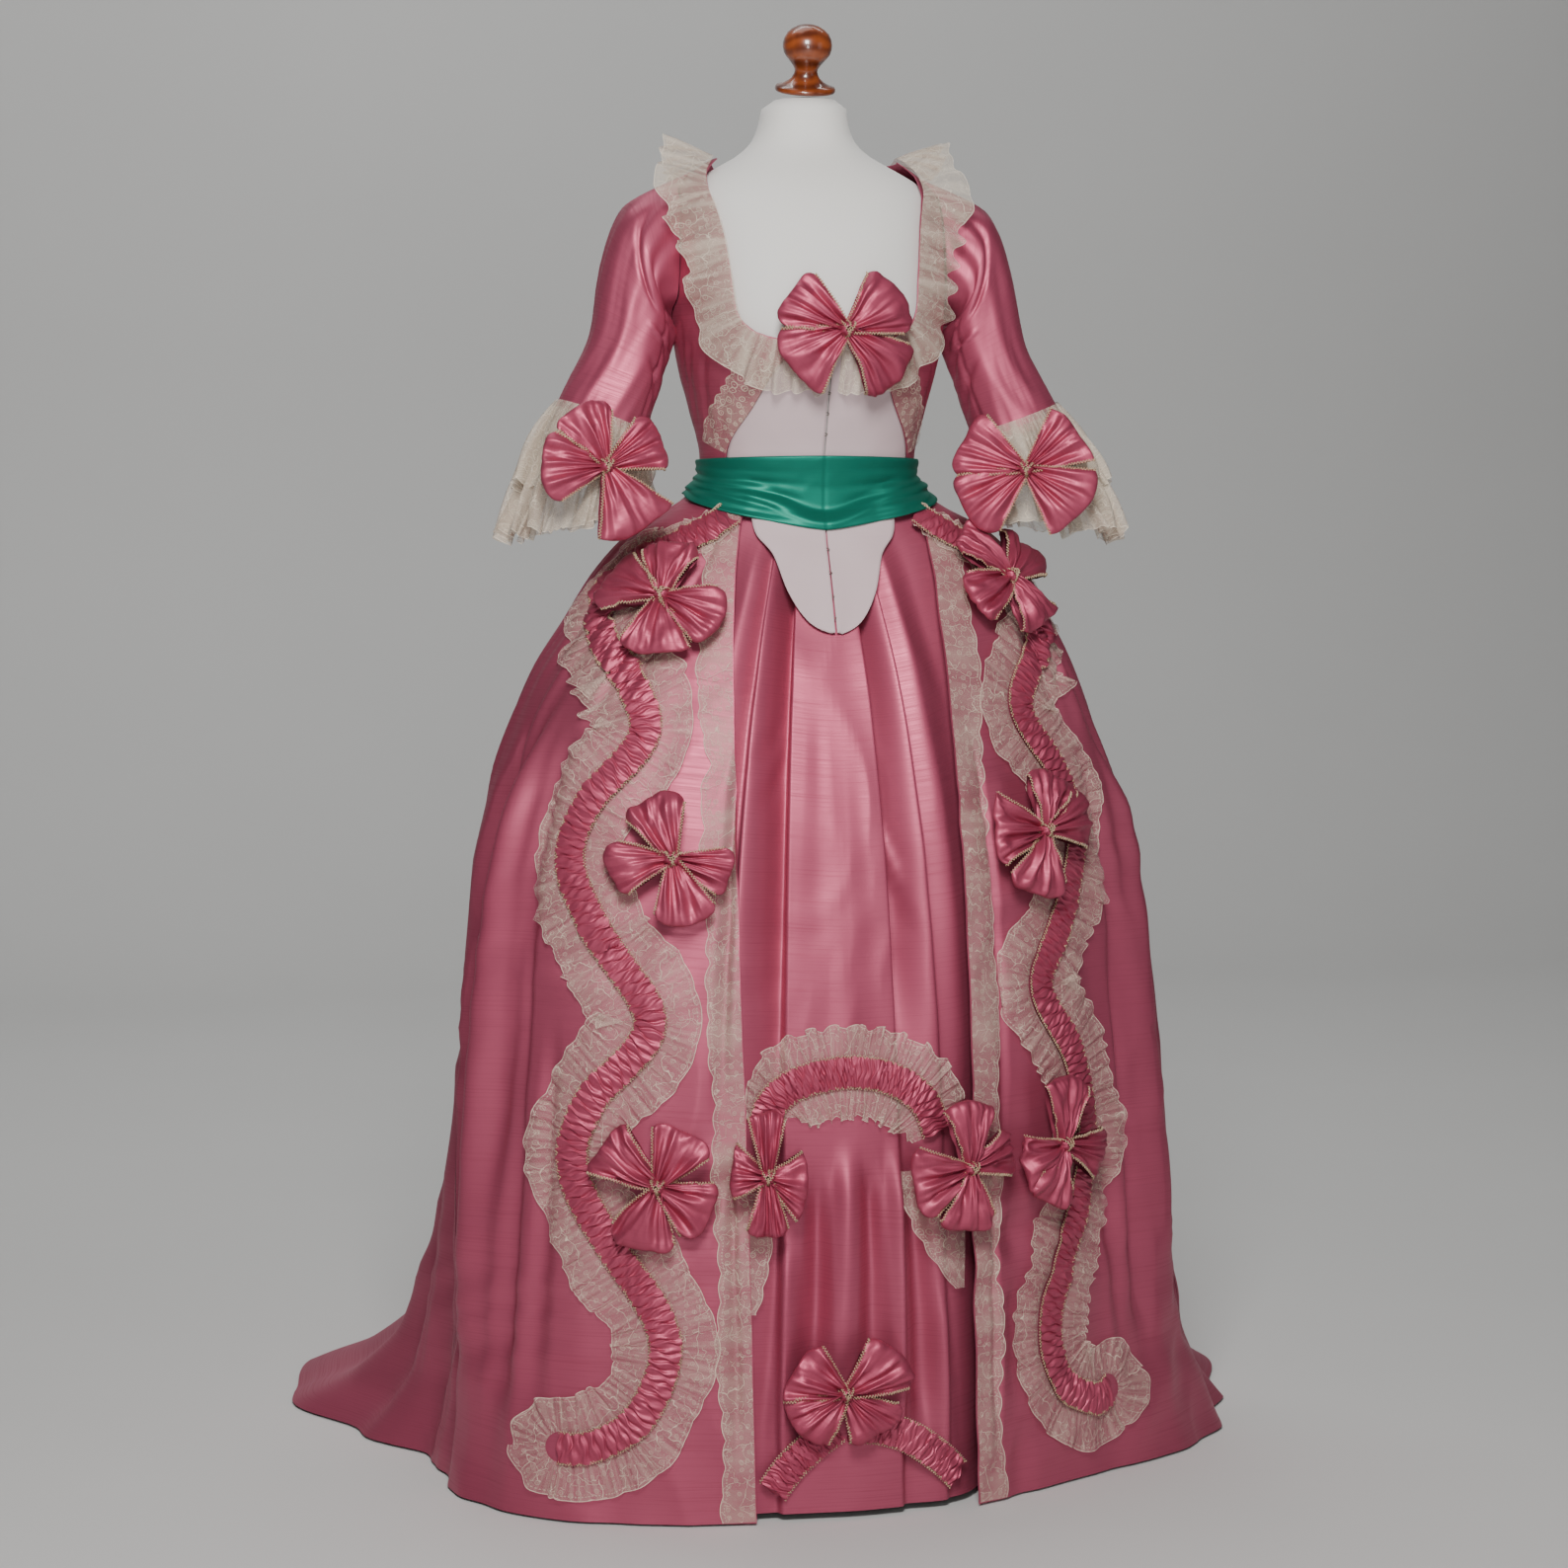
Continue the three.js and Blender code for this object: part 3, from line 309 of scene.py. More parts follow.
PETTICOAT_CREASES = (
    (-8, 900, -9, 560, 6, -1.4, 0.5), (4, 860, 4, 420, 6, -1.2, 0.8), (-3, 640, -2, 500, 5, 1.5, 0.3),
    (-2, 420, -4, 150, 6, 12, 0.6), (3, 400, 3.4, 120, 4.5, -13, 0.6), (9, 430, 10, 50, 5, 12, 1),
    (14, 420, 17, 30, 5, -14, 1), (-9, 400, -12, 50, 5, -14, 1), (-15, 330, -18, 20, 4.5, 10, 0.5),
    (20, 260, 22, 10, 4.5, 5, 0.8), (15, 700, 15.5, 640, 4, -3, 0), (-18, 840, -24, 780, 3.5, -3, 0),
    (11.5, 760, 15.5, 690, 2.5, 4, 0.5), (13, 1052, 22, 1030, 6, -6, 0.5), (-20, 880, -27, 820, 4, -3.5, 0.5),
)


def unit(vectors):
    return vectors / np.maximum(np.linalg.norm(vectors, axis=-1, keepdims=True), 1e-9)


def dot(a, b):
    return (a * b).sum(axis=-1)


def frames(surface, u, v, step=0.5):
    """The two directions and the outward normal of a surface at (u, v)."""
    along = (surface(u + step, v) - surface(u - step, v)) / (2 * step)
    up = (surface(u, v + step) - surface(u, v - step)) / (2 * step)
    return along, up, unit(np.cross(along, up)) * getattr(surface, "facing", 1)


def lifted(surface, u, v, lift):
    """Points on a surface, moved out of it."""
    normal = frames(surface, u, v)[2]
    return surface(u, v) + normal * np.asarray(lift, float)[..., None]


print("creases placed on the robe:", len(ROBE_CREASES) + len(HANDLED))


# %% The petticoat's and the gown's surfaces, with their creases
def petticoat_face(bearing, z):
    """The petticoat without its pleats, which its tabs and trimmings bridge."""
    return polar(turned(bearing), skirt_radius(bearing, z, "under"), z)


def petticoat(bearing, z):
    b = turned(bearing)
    settled = below_waist(z, 130) * mix(1, 0.3, smooth((680 - z) / 300))
    pleat = settled * tucked(b, TUCKS)
    pressed = UNDER_GOWN * smooth((np.abs(b + 4) - 28) / 18) * below_waist(z, 160)
    soft = creased(PETTICOAT_CREASES, b, z) + 1.3 * crumple(b * DEGREE_WIDTH, z, 130, 3)
    return polar(b, skirt_radius(b, z, "under") - pleat - pressed + soft, z)


def gown_radius(b, z):
    """The robe's skirt with its wide folds and its pleated back."""
    fold = below_waist(z, FOLDS_OPEN) * dent(b, FOLDS)
    around = np.clip((np.abs(b) - BACK_FROM) / (180 - BACK_FROM), 0, 1)
    uneven = around + 0.02 * np.sin(around * 11 + np.sign(b)) * smooth((1000 - z) / 500)
    wave = 0.5 - 0.5 * np.cos(uneven * BACK_PLEATS * math.pi)
    settled = below_waist(z, 60)
    gathered = (around > 0) * (0.25 + 0.75 * below_waist(z, FOLDS_OPEN)) * BACK_PLEAT_DEPTH * wave * settled
    return skirt_radius(b, z) + mix(WAIST_LIFT, GOWN_LIFT, settled) - fold - gathered


def gown_face(bearing, z):
    """The robe's skirt without its creases, which a tied bow bridges."""
    b = turned(bearing)
    return polar(b, gown_radius(b, z), z)


def gown(bearing, z):
    b = turned(bearing)
    settled = below_waist(z, 60)
    deep = CREASE_DEPTH * mix(1, 0.38, smooth((z - 740) / 170))
    soft = deep * creased(ROBE_CREASES, b, z) * settled + creased(HANDLED, b, z)
    soft = soft + (1.2 + 1.8 * smooth((900 - z) / 300)) * crumple(b * DEGREE_WIDTH, z, 130, 11) * settled
    pleats = 2.4 * np.cos(wander(b / 360, 90, 7)) * smooth((z - 940) / 150) * smooth((1128 - z) / 20)
    pleats = pleats * smooth((np.abs(b) - 80) / 12)
    train = 5 * waves(b * DEGREE_WIDTH, z * 0, 190, 31, 4) * smooth((120 - z) / 120)
    train = train * (np.abs(b) > BACK_FROM)
    return polar(b, gown_radius(b, z) + soft + pleats + train, z)


def form(bearing, z):
    depth = np.where(np.abs(turned(bearing)) <= 90, read(FORM, "front", z), read(FORM, "back", z))
    point = polar(bearing, oval(read(FORM, "half", z), depth, 2.15, bearing), z)
    point[..., 1] += read(FORM, "set", z)
    return point


def bodice(bearing, z):
    """The bodice follows the form at a small distance, and a little higher over the shoulders."""
    point = form(bearing, z)
    flat = np.hypot(point[..., 0], point[..., 1])
    point[..., 0] *= (flat + BODICE_LIFT) / flat
    point[..., 1] *= (flat + BODICE_LIFT) / flat
    point[..., 2] = z + smooth((z - ARMHOLE_TOP) / 40) * BODICE_LIFT
    return point


SLEEVE_LENGTH, SLEEVE_HEAD, SEAT_OVER, SEAT_LAP, SEAT_CLEAR = 225, 42, 3, 1.6, 2.35


def armhole(z):
    """Half width of an armhole at a height, as a bearing."""
    return ARMHOLE_HALF * smooth((z - UNDERARM) / 30) * smooth((ARMHOLE_END - z) / 30)


def sleeve_seat(side, angle):
    """Where a sleeve's edge is sewn: round the armhole, lapped over the bodice's edge."""
    middle = (UNDERARM + ARMHOLE_END) / 2
    z = middle + (ARMHOLE_END - middle + SEAT_OVER) * np.cos(np.radians(angle))
    around = np.sin(np.radians(angle))
    width = (armhole(z) + SEAT_LAP) * np.sign(around) * np.abs(around) ** 0.4
    bearing = side * (90 - width)
    return bodice(bearing, z) + polar(bearing, SEAT_CLEAR, z * 0)


def sleeve(side):
    """A sleeve's surface: the angle round it, 0 outside and 90 in front, and the length down it."""
    def surface(angle, down):
        at = np.clip(down, 0, SLEEVE_LENGTH)
        past = np.maximum(0, down - SLEEVE_LENGTH)
        turn = np.radians(read(SLEEVE, "turn", at))
        out = place(side * np.cos(turn), 0, np.sin(turn))
        fall = unit(place(side * np.sin(turn), -0.16, -np.cos(turn)))
        centre = place(side * read(SLEEVE, "x", at), read(SLEEVE, "y", at), read(SLEEVE, "height", at))
        high = (read(SLEEVE, "high", at) + past * 0.07) * np.cos(np.radians(angle))
        deep = (read(SLEEVE, "deep", at) + past * 0.14) * np.sin(np.radians(angle))
        tube = centre + fall * past[..., None] + out * high[..., None] - place(0, deep, 0)
        return mix(tube, sleeve_seat(side, angle), (1 - smooth(down / SLEEVE_HEAD))[..., None])
    surface.facing = side
    return surface


print("petticoat depth in front:", float(petticoat(np.array(0.0), np.array(500.0))[1].round()), "mm")

# %% [markdown]
# ## Sewing to a surface
# A trimming is a strip that follows a route. At each station the strip steps sideways over the
# carrying surface, and each point stands off it by its own rise. That one idea makes the lace, the
# gathered bands, the ruffles and the braid, and it keeps all of them seated on the cloth.

# %% Routes and strips
def walk(surface, u, v, move, lift):
    """The point reached from (u, v) by move over the surface, lift out of it."""
    along, up, _ = frames(surface, u, v)
    aa, au, uu = dot(along, along), dot(along, up), dot(up, up)
    ma, mu = dot(move, along), dot(move, up)
    scale = aa * uu - au * au
    return lifted(surface, u + (ma * uu - mu * au) / scale, v + (mu * aa - ma * au) / scale, lift)


def route_through(rows):
    """A smooth route through rows of bearing and height, walked at an even pace."""
    knots = np.array([(b * DEGREE_WIDTH, z) for b, z in rows], float)
    ends = np.vstack([knots[:1], knots, knots[-1:]])
    t = np.linspace(0, 1, 40, endpoint=False)[:, None]
    parts = []
    for before, start, end, after in zip(ends, ends[1:], ends[2:], ends[3:]):
        leave, arrive = (end - before) / 2, (after - start) / 2
        parts.append((2 * t ** 3 - 3 * t ** 2 + 1) * start + (t ** 3 - 2 * t ** 2 + t) * leave
                     + (3 * t ** 2 - 2 * t ** 3) * end + (t ** 3 - t ** 2) * arrive)
    fine = np.vstack(parts + [knots[-1:]])
    paced = np.concatenate([[0], np.cumsum(np.linalg.norm(np.diff(fine, axis=0), axis=1))])

    def route(s):
        reach = np.clip(s, 0, 1) * paced[-1]
        return np.interp(reach, paced, fine[:, 0]) / DEGREE_WIDTH, np.interp(reach, paced, fine[:, 1])
    return route


def strip(surface, route, stations, rows, near, far, rise, fan=None):
    """A strip from near to far mm to a route's side, which may be functions of s."""
    s = np.linspace(0, 1, stations + 1)[:, None]
    w = np.linspace(0, 1, rows + 1)[None, :]
    tick = 0.004
    b, z = route(s)
    along = unit(surface(*route(s + tick)) - surface(*route(s - tick)))
    aside = unit(np.cross(along, frames(surface, b, z)[2]))
    near, far = (value(s) if callable(value) else value for value in (near, far))
    reach = mix(near, far, w)
    move = aside * reach[..., None]
    if fan is not None:
        move = move + along * fan(s, w)[..., None]
    b, z, s, w = np.broadcast_arrays(b, z, s, w)
    return walk(surface, b, z, move, rise(s, w))


print("route test:", [float(x) for x in route_through([(0, 0), (10, 100)])(np.array(0.5))])

# %% [markdown]
# ## From points to pieces
# A grid of points becomes a mesh with a map of its own cloth lengths, in metres, so that a weave
# or a lace pattern keeps its real scale and follows the threads through every fold. The size that
# each sheet was cut to is found by unfolding the grid along its rows, and printed.

# %% Meshes from grids of points
def arc(points, axis):
    """Length along an axis of a grid from its start, at each point."""
    step = np.linalg.norm(np.diff(points, axis=axis), axis=-1)
    zero = np.zeros_like(np.take(step, [0], axis=axis))
    return np.concatenate([zero, np.cumsum(step, axis=axis)], axis=axis)


# How far apart the maps of a piece's grids start, and the least share of its cut that a sheet fills.
MAP_GAP, LEAST_FILLED = 0.31, 0.4


def lattice(first, second, closed=False):
    """Two even ranges as the two numbers of a grid. A closed grid leaves out the end of its first."""
    return np.meshgrid(np.linspace(*first, endpoint=not closed), np.linspace(*second), indexing="ij")


def to_free_edge(grid):
    """How far each point of a lace is from its free edge."""
    over = arc(grid, 1)
    return over[:, -1:] - over


def joined(grid, closed):
    """A grid, with its first column again at its end where it closes on itself."""
    return np.concatenate([grid, grid[:1]], axis=0) if closed else grid


def piece_from(name, grids, closed=False, free=None, thickness=0.0):
    """One mesh from grids of points in mm, with its cloth map, and free, the way to a free edge."""
    points, faces, maps, edges, start = [], [], [], [], 0
    for k, grid in enumerate(grids):
        whole = joined(grid, closed)
        along, over = arc(whole, 0).mean(axis=1), arc(whole, 1).mean(axis=0)
        cloth = np.stack(np.meshgrid(along, over, indexing="ij"), axis=-1) * MM + k * MAP_GAP
        columns, rows = grid.shape[:2]
        i, j = np.meshgrid(np.arange(whole.shape[0] - 1), np.arange(rows - 1), indexing="ij")
        corners = [(i, j), (i + 1, j), (i + 1, j + 1), (i, j + 1)]
        quads = np.stack([(a % columns) * rows + b for a, b in corners], -1)
        faces.append(quads.reshape(-1, 4) + start)
        maps.append(np.stack([cloth[a, b] for a, b in corners], -2).reshape(-1, 2))
        points.append(grid.reshape(-1, 3) * MM)
        if free is not None:
            edges.append(np.broadcast_to(free[k], grid.shape[:2]).reshape(-1) * MM)
        start += columns * rows
    mesh = bpy.data.meshes.new(name)
    mesh.from_pydata(np.concatenate(points).tolist(), [], np.concatenate(faces).tolist())
    cloth_map = np.concatenate(maps).reshape(-1).astype(np.float32)
    mesh.uv_layers.new(name="cloth").data.foreach_set("uv", cloth_map)
    if free is not None:
        values = np.concatenate(edges).astype(np.float32)
        mesh.attributes.new("free", "FLOAT", "POINT").data.foreach_set("value", values)
    mesh.shade_smooth()
    piece = bpy.data.objects.new(name, mesh)
    bpy.context.collection.objects.link(piece)
    if thickness:
        shell = piece.modifiers.new("cloth", "SOLIDIFY")
        shell.thickness, shell.offset = thickness * MM, -1
    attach(piece, "root")
    return piece


def grid_area(grid):
    a, b, c, d = grid[:-1, :-1], grid[1:, :-1], grid[1:, 1:], grid[:-1, 1:]
    return float(np.linalg.norm(np.cross(c - a, d - b), axis=-1).sum() / 2) * MM * MM


def cut_of(grids, closed=False):
    """The flat cut of some grids laid end to end: width, length and area, in metres."""
    wholes = [joined(grid, closed) for grid in grids]
    length = sum(float(arc(grid, 0)[-1].max()) for grid in wholes) * MM
    width = max(float(arc(grid, 1)[:, -1].max()) for grid in wholes) * MM
    area = sum(grid_area(grid) for grid in wholes)
    length = min(length, area / (LEAST_FILLED * width))
    return width, length, min(area, width * length)


def dress(piece, material):
    piece.data.materials.clear()
    piece.data.materials.append(material)


def sew(name, grids, material, nodes, closed=False, free=None, thickness=0.0):
    """A sheet of cloth, with what it stands for, how it is held and the size it was cut to."""
    piece = piece_from(name, grids, closed, free, thickness)
    dress(piece, material)
    width, length, area = cut_of(grids, closed)
    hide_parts(*nodes)
    print(f"{name}: cut {width:.3f} x {length:.3f} m, {area:.3f} sq m")


# %% [markdown]
# ## Finishes
# A material is built from small shader groups that say one thing each: how a weave runs, where a
# lace has thread, how a cord is twisted, how a surface has aged. A group hands back a colour, a
# mask or a height, and the shader itself stays in the material, where its own sockets are set.

# %% Shader helpers
def connect(tree, value, socket):
    """Links a socket to another, or sets its value."""
    if isinstance(value, bpy.types.NodeSocket):
        tree.links.new(value, socket)
    else:
        socket.default_value = value


def node(tree, kind, inputs=None, **settings):
    made = tree.nodes.new("ShaderNode" + kind)
    for name, value in settings.items():
        setattr(made, name, value)
    for name, value in (inputs or {}).items():
        connect(tree, value, made.inputs[name])
    return made


def maths(tree):
    """The sums that a pattern is made of, as functions that add a node to its tree."""
    def working(operation):
        def sums(*values, clamp=False):
            made = node(tree, "Math", dict(enumerate(values)), operation=operation, use_clamp=clamp)
            return made.outputs[0]
        return sums
    return [working(name) for name in ("ADD", "MULTIPLY", "SUBTRACT", "MAXIMUM", "ABSOLUTE", "SINE")]


def apart(tree, vector):
    """The three parts of a vector."""
    return node(tree, "SeparateXYZ", {"Vector": vector}).outputs


def vectors(tree, operation, first, second, socket=1):
    return node(tree, "VectorMath", {0: first, socket: second}, operation=operation).outputs[0]


def scaled(tree, vector, sizes):
    return node(tree, "Mapping", {"Vector": vector, "Scale": sizes}).outputs["Vector"]


def blended(tree, factor, first, second):
    return node(tree, "Mix", {0: factor, 6: first, 7: second}, data_type="RGBA").outputs[2]


def noise(tree, vector, scale, detail=3.0, rough=0.55):
    sizes = {"Vector": vector, "Scale": scale, "Detail": detail, "Roughness": rough}
    return node(tree, "TexNoise", sizes).outputs["Fac"]


def ranged(tree, value, low, high, to_low=0.0, to_high=1.0):
    sizes = {"Value": value, "From Min": low, "From Max": high, "To Min": to_low, "To Max": to_high}
    return node(tree, "MapRange", sizes).outputs["Result"]


def shader_group(name, inputs, outputs):
    """A node group with named sockets; returns its tree, its inputs and its output node."""
    tree = bpy.data.node_groups.new(name, "ShaderNodeTree")
    for label, kind, value in inputs:
        socket = tree.interface.new_socket(name=label, in_out="INPUT", socket_type="NodeSocket" + kind)
        if value is not None:
            socket.default_value = value
    for label, kind in outputs:
        tree.interface.new_socket(name=label, in_out="OUTPUT", socket_type="NodeSocket" + kind)
    return tree, tree.nodes.new("NodeGroupInput").outputs, tree.nodes.new("NodeGroupOutput")


def labelled(values):
    return {name.replace("_", " "): value for name, value in values.items()}


def use(tree, group, **inputs):
    return node(tree, "Group", labelled(inputs), node_tree=group).outputs


def cloth_map(tree):
    return node(tree, "UVMap", uv_map="cloth").outputs["UV"]


def own_place(tree):
    return node(tree, "TexCoord").outputs["Object"]


def new_material(name, **sockets):
    """A material with a Principled shader, whose even values are set on its own sockets."""
    material = bpy.data.materials.new(name)
    material.use_nodes = True
    shader = material.node_tree.nodes["Principled BSDF"]
    for label, value in labelled(sockets).items():
        shader.inputs[label].default_value = value
    return material, material.node_tree, shader


def surfaced(tree, shader, colour, height=None, strength=0.0, distance=0.0005, **others):
    """Joins a colour, a relief and other values to a material's shader."""
    for label, value in labelled({"Base_Color": colour, **others}).items():
        connect(tree, value, shader.inputs[label])
    if height is not None:
        relief = node(tree, "Bump", {"Strength": strength, "Distance": distance, "Height": height})
        tree.links.new(relief.outputs["Normal"], shader.inputs["Normal"])


print("shader helpers ready")

# %% [markdown]
# The silk is a plain weave with slubs: here and there a weft thread is thicker, and a thin darker
# or lighter line runs across the cloth. Three stretched noises at different lengths give that,
# on the cloth's own map, so the lines run round the skirt and turn with each fold.

# %% The slubbed weave
weave, given, out = shader_group(
    "slubbed weave",
    [("Map", "Vector", None), ("Slubs", "Float", 0.3), ("Colour", "Color", None),
     ("Slub colour", "Color", None)],
    [("Colour", "Color"), ("Height", "Float"), ("Roughness", "Float")],
)
add, times = maths(weave)[:2]
across = noise(weave, scaled(weave, given["Map"], (9, 520, 1)), 1.0, 2)
short = noise(weave, scaled(weave, given["Map"], (46, 900, 1)), 1.0, 2)
warp = noise(weave, scaled(weave, given["Map"], (1300, 14, 1)), 1.0, 1)
slub = times(ranged(weave, across, 0.52, 0.72), given["Slubs"])
slub = add(slub, times(ranged(weave, short, 0.62, 0.78), given["Slubs"]), clamp=True)
weave.links.new(blended(weave, slub, given["Colour"], given["Slub colour"]), out.inputs["Colour"])
thread = add(times(warp, 0.35), times(short, 0.65))
weave.links.new(add(thread, slub), out.inputs["Height"])
weave.links.new(ranged(weave, across, 0.3, 0.7, 0.44, 0.56), out.inputs["Roughness"])
print("group:", weave.name)

# %% [markdown]
# Old cloth is never one colour. Dust settles, folds fade and hands leave soft marks. A broad noise
# in the object's own space shifts the colour a little, the same way on every piece that it is used
# on, so neighbouring pieces look cut from one length of silk.

# %% Faded and soiled patches
aged, given, out = shader_group(
    "aged patches",
    [("Place", "Vector", None), ("Colour", "Color", None), ("Faded colour", "Color", None),
     ("Amount", "Float", 0.3)],
    [("Colour", "Color")],
)
add, times = maths(aged)[:2]
patch = ranged(aged, noise(aged, given["Place"], 3.1, 4), 0.38, 0.68)
speck = ranged(aged, noise(aged, given["Place"], 46.0, 3), 0.66, 0.78)
mask = times(add(patch, times(speck, 0.5), clamp=True), given["Amount"])
aged.links.new(blended(aged, mask, given["Colour"], given["Faded colour"]), out.inputs["Colour"])
print("group:", aged.name)

# %% [markdown]
# Blonde lace is a fine net with thicker threads run through it: small open flowers, dots, and stems
# that wander between them, and a firm cord along the scalloped edge. The flowers are five-petalled
# figures in polar form round scattered centres. The stems are the walls between larger cells,
# bent by a noise and broken by another. The net itself is too fine to see at arm's length, so it
# is mostly a partly open mask, thicker where the gathers crowd it.

# %% The lace pattern
FLOWER_SPACING = 0.013
lacework, given, out = shader_group(
    "lace pattern",
    [("Map", "Vector", None), ("To edge", "Float", 0.02), ("Net", "Float", 0.3),
     ("Flowers", "Float", 1.0), ("Gathers", "Float", 150.0)],
    [("Thread", "Float"), ("Height", "Float"), ("Tone with painted shade", "Float")],
)
add, times, less, most, size_of, sine = maths(lacework)
flat = apart(lacework, given["Map"])
plane = node(lacework, "CombineXYZ", {"X": flat["X"], "Y": flat["Y"]}).outputs[0]
cells = node(lacework, "TexVoronoi", {"Vector": plane, "Scale": 1 / FLOWER_SPACING, "Randomness": 0.7},
             voronoi_dimensions="2D")
spread = scaled(lacework, plane, (1 / FLOWER_SPACING,) * 3)
steps = apart(lacework, vectors(lacework, "SUBTRACT", spread, cells.outputs["Position"]))
angle = node(lacework, "Math", {0: steps["Y"], 1: steps["X"]}, operation="ARCTAN2").outputs[0]
rim = add(0.15, times(size_of(sine(times(angle, 2.5))), 0.15))
away = cells.outputs["Distance"]
flower = ranged(lacework, size_of(less(away, rim)), 0.035, 0.065, 1.0, 0.0)
heart = ranged(lacework, away, 0.05, 0.08, 1.0, 0.0)
flower = times(most(flower, heart), given["Flowers"])


def thin_lines(size, width, broken):
    """Stems of one width: the walls between cells, bent by a noise and broken by another."""
    bend = node(lacework, "TexNoise", {"Vector": plane, "Scale": size * 1.3, "Detail": 1.0})
    shift = vectors(lacework, "SUBTRACT", bend.outputs["Color"], (0.5, 0.5, 0.5))
    at = vectors(lacework, "ADD", plane, vectors(lacework, "SCALE", shift, 0.9 / size, socket=3))
    wall = node(lacework, "TexVoronoi", {"Vector": at, "Scale": size}, voronoi_dimensions="2D",
                feature="DISTANCE_TO_EDGE").outputs["Distance"]
    kept = ranged(lacework, noise(lacework, plane, size * 0.8, 1), broken, broken + 0.04)
    return times(ranged(lacework, wall, width * 0.5, width, 1.0, 0.0), kept)


stems = times(most(thin_lines(50.0, 0.024, 0.43), thin_lines(96.0, 0.030, 0.50)), 0.75)
MESHES = 1900.0
mesh_u = size_of(sine(times(add(flat["X"], flat["Y"]), MESHES)))
mesh_v = size_of(sine(times(less(flat["X"], flat["Y"]), MESHES)))
thinnest = node(lacework, "Math", {0: mesh_u, 1: mesh_v}, operation="MINIMUM").outputs[0]
net = ranged(lacework, thinnest, 0.1, 0.5, 1.0, 0.5)
crowded = node(lacework, "CombineXYZ", {
    "X": times(flat["X"], given["Gathers"]), "Y": times(flat["Y"], 9.0),
}).outputs[0]
fold = ranged(lacework, noise(lacework, crowded, 1.0, 2, 0.6), 0.36, 0.64)
net = times(times(net, given["Net"]), ranged(lacework, fold, 0.0, 1.0, 0.72, 1.35))
cord = ranged(lacework, given["To edge"], 0.0006, 0.0013, 0.85, 0.0)
dots = size_of(sine(times(flat["X"], 900.0)))
border = ranged(lacework, size_of(less(given["To edge"], 0.005)), 0.0005, 0.0011, 0.6, 0.0)
drawn = most(most(flower, stems), most(cord, times(border, dots)))
lacework.links.new(most(drawn, net, clamp=True), out.inputs["Thread"])
lacework.links.new(add(drawn, times(fold, 2.5)), out.inputs["Height"])
# The tone is the threads' paleness plus the fold noise across the gathers: the fold part is painted shade and
# light between the gathers.
lacework.links.new(add(times(drawn, 0.7), times(fold, 0.45), clamp=True), out.inputs["Tone with painted shade"])
print("group:", lacework.name)

# %% [markdown]
# Braid, stitching and cord are all twisted thread. A slanted band across the cord's own map, with a
# little noise, reads as twist at this scale. The same group serves the gold picot braid and the
# jersey's knit, only the numbers differ.

# %% Twisted thread
twisted, given, out = shader_group(
    "twisted thread",
    [("Map", "Vector", None), ("Turns", "Float", 400.0), ("Colour", "Color", None), ("Shade", "Color", None)],
    [("Colour", "Color"), ("Height", "Float")],
)
add, times, *_, size_of, sine = maths(twisted)
flat = apart(twisted, given["Map"])
slant = times(add(flat["X"], times(flat["Y"], 0.6)), given["Turns"])
ply = size_of(sine(times(slant, math.pi)))
twine = blended(twisted, times(ply, noise(twisted, given["Map"], 900.0, 2)), given["Shade"], given["Colour"])
twisted.links.new(twine, out.inputs["Colour"])
twisted.links.new(ply, out.inputs["Height"])
print("group:", twisted.name)


# %% [markdown]
# The materials follow. Silk has a narrow bright sheen over a deep colour, so the folds run from
# pale rose to wine red: part of that is in the shader, and part comes by itself when light passes
# from fold to fold. Bump from the weave is kept faint.

# %% Silk, sash and stomacher cloth
def silk(name, colour, slub, faded, slubs=0.2, amount=0.3, lustre=0.62, rough=None, coat=0.06):
    material, tree, shader = new_material(name, Metallic=lustre, Specular_IOR_Level=0.5, Anisotropic=0.4,
                                          Coat_Weight=coat, Coat_Roughness=0.42)
    patches = use(tree, aged, Place=own_place(tree), Colour=colour, Faded_colour=faded, Amount=amount)
    woven = use(tree, weave, Map=cloth_map(tree), Slubs=slubs, Colour=patches["Colour"], Slub_colour=slub)
    surfaced(tree, shader, woven["Colour"], woven["Height"], 0.14, 0.0006,
             Roughness=woven["Roughness"] if rough is None else rough)
    return material


pink_silk = silk("pink taffeta", (0.42, 0.076, 0.138, 1), (0.29, 0.04, 0.08, 1), (0.46, 0.11, 0.17, 1),
                 slubs=0.35)
trim_silk = silk("pink ribbon", (0.40, 0.06, 0.115, 1), (0.29, 0.04, 0.075, 1), (0.45, 0.09, 0.15, 1))
green_silk = silk("green sash silk", (0.0, 0.16, 0.11, 1), (0.0, 0.11, 0.07, 1), (0.0, 0.20, 0.135, 1),
                  lustre=0.6, rough=0.5, coat=0.0)
pale_cloth = silk("stomacher cloth", (0.56, 0.43, 0.45, 1), (0.52, 0.39, 0.41, 1), (0.60, 0.48, 0.49, 1),
                  slubs=0.15, lustre=0.0, rough=0.7, amount=0.4, coat=0.0)
print("cloths:", pink_silk.name, green_silk.name, pale_cloth.name)


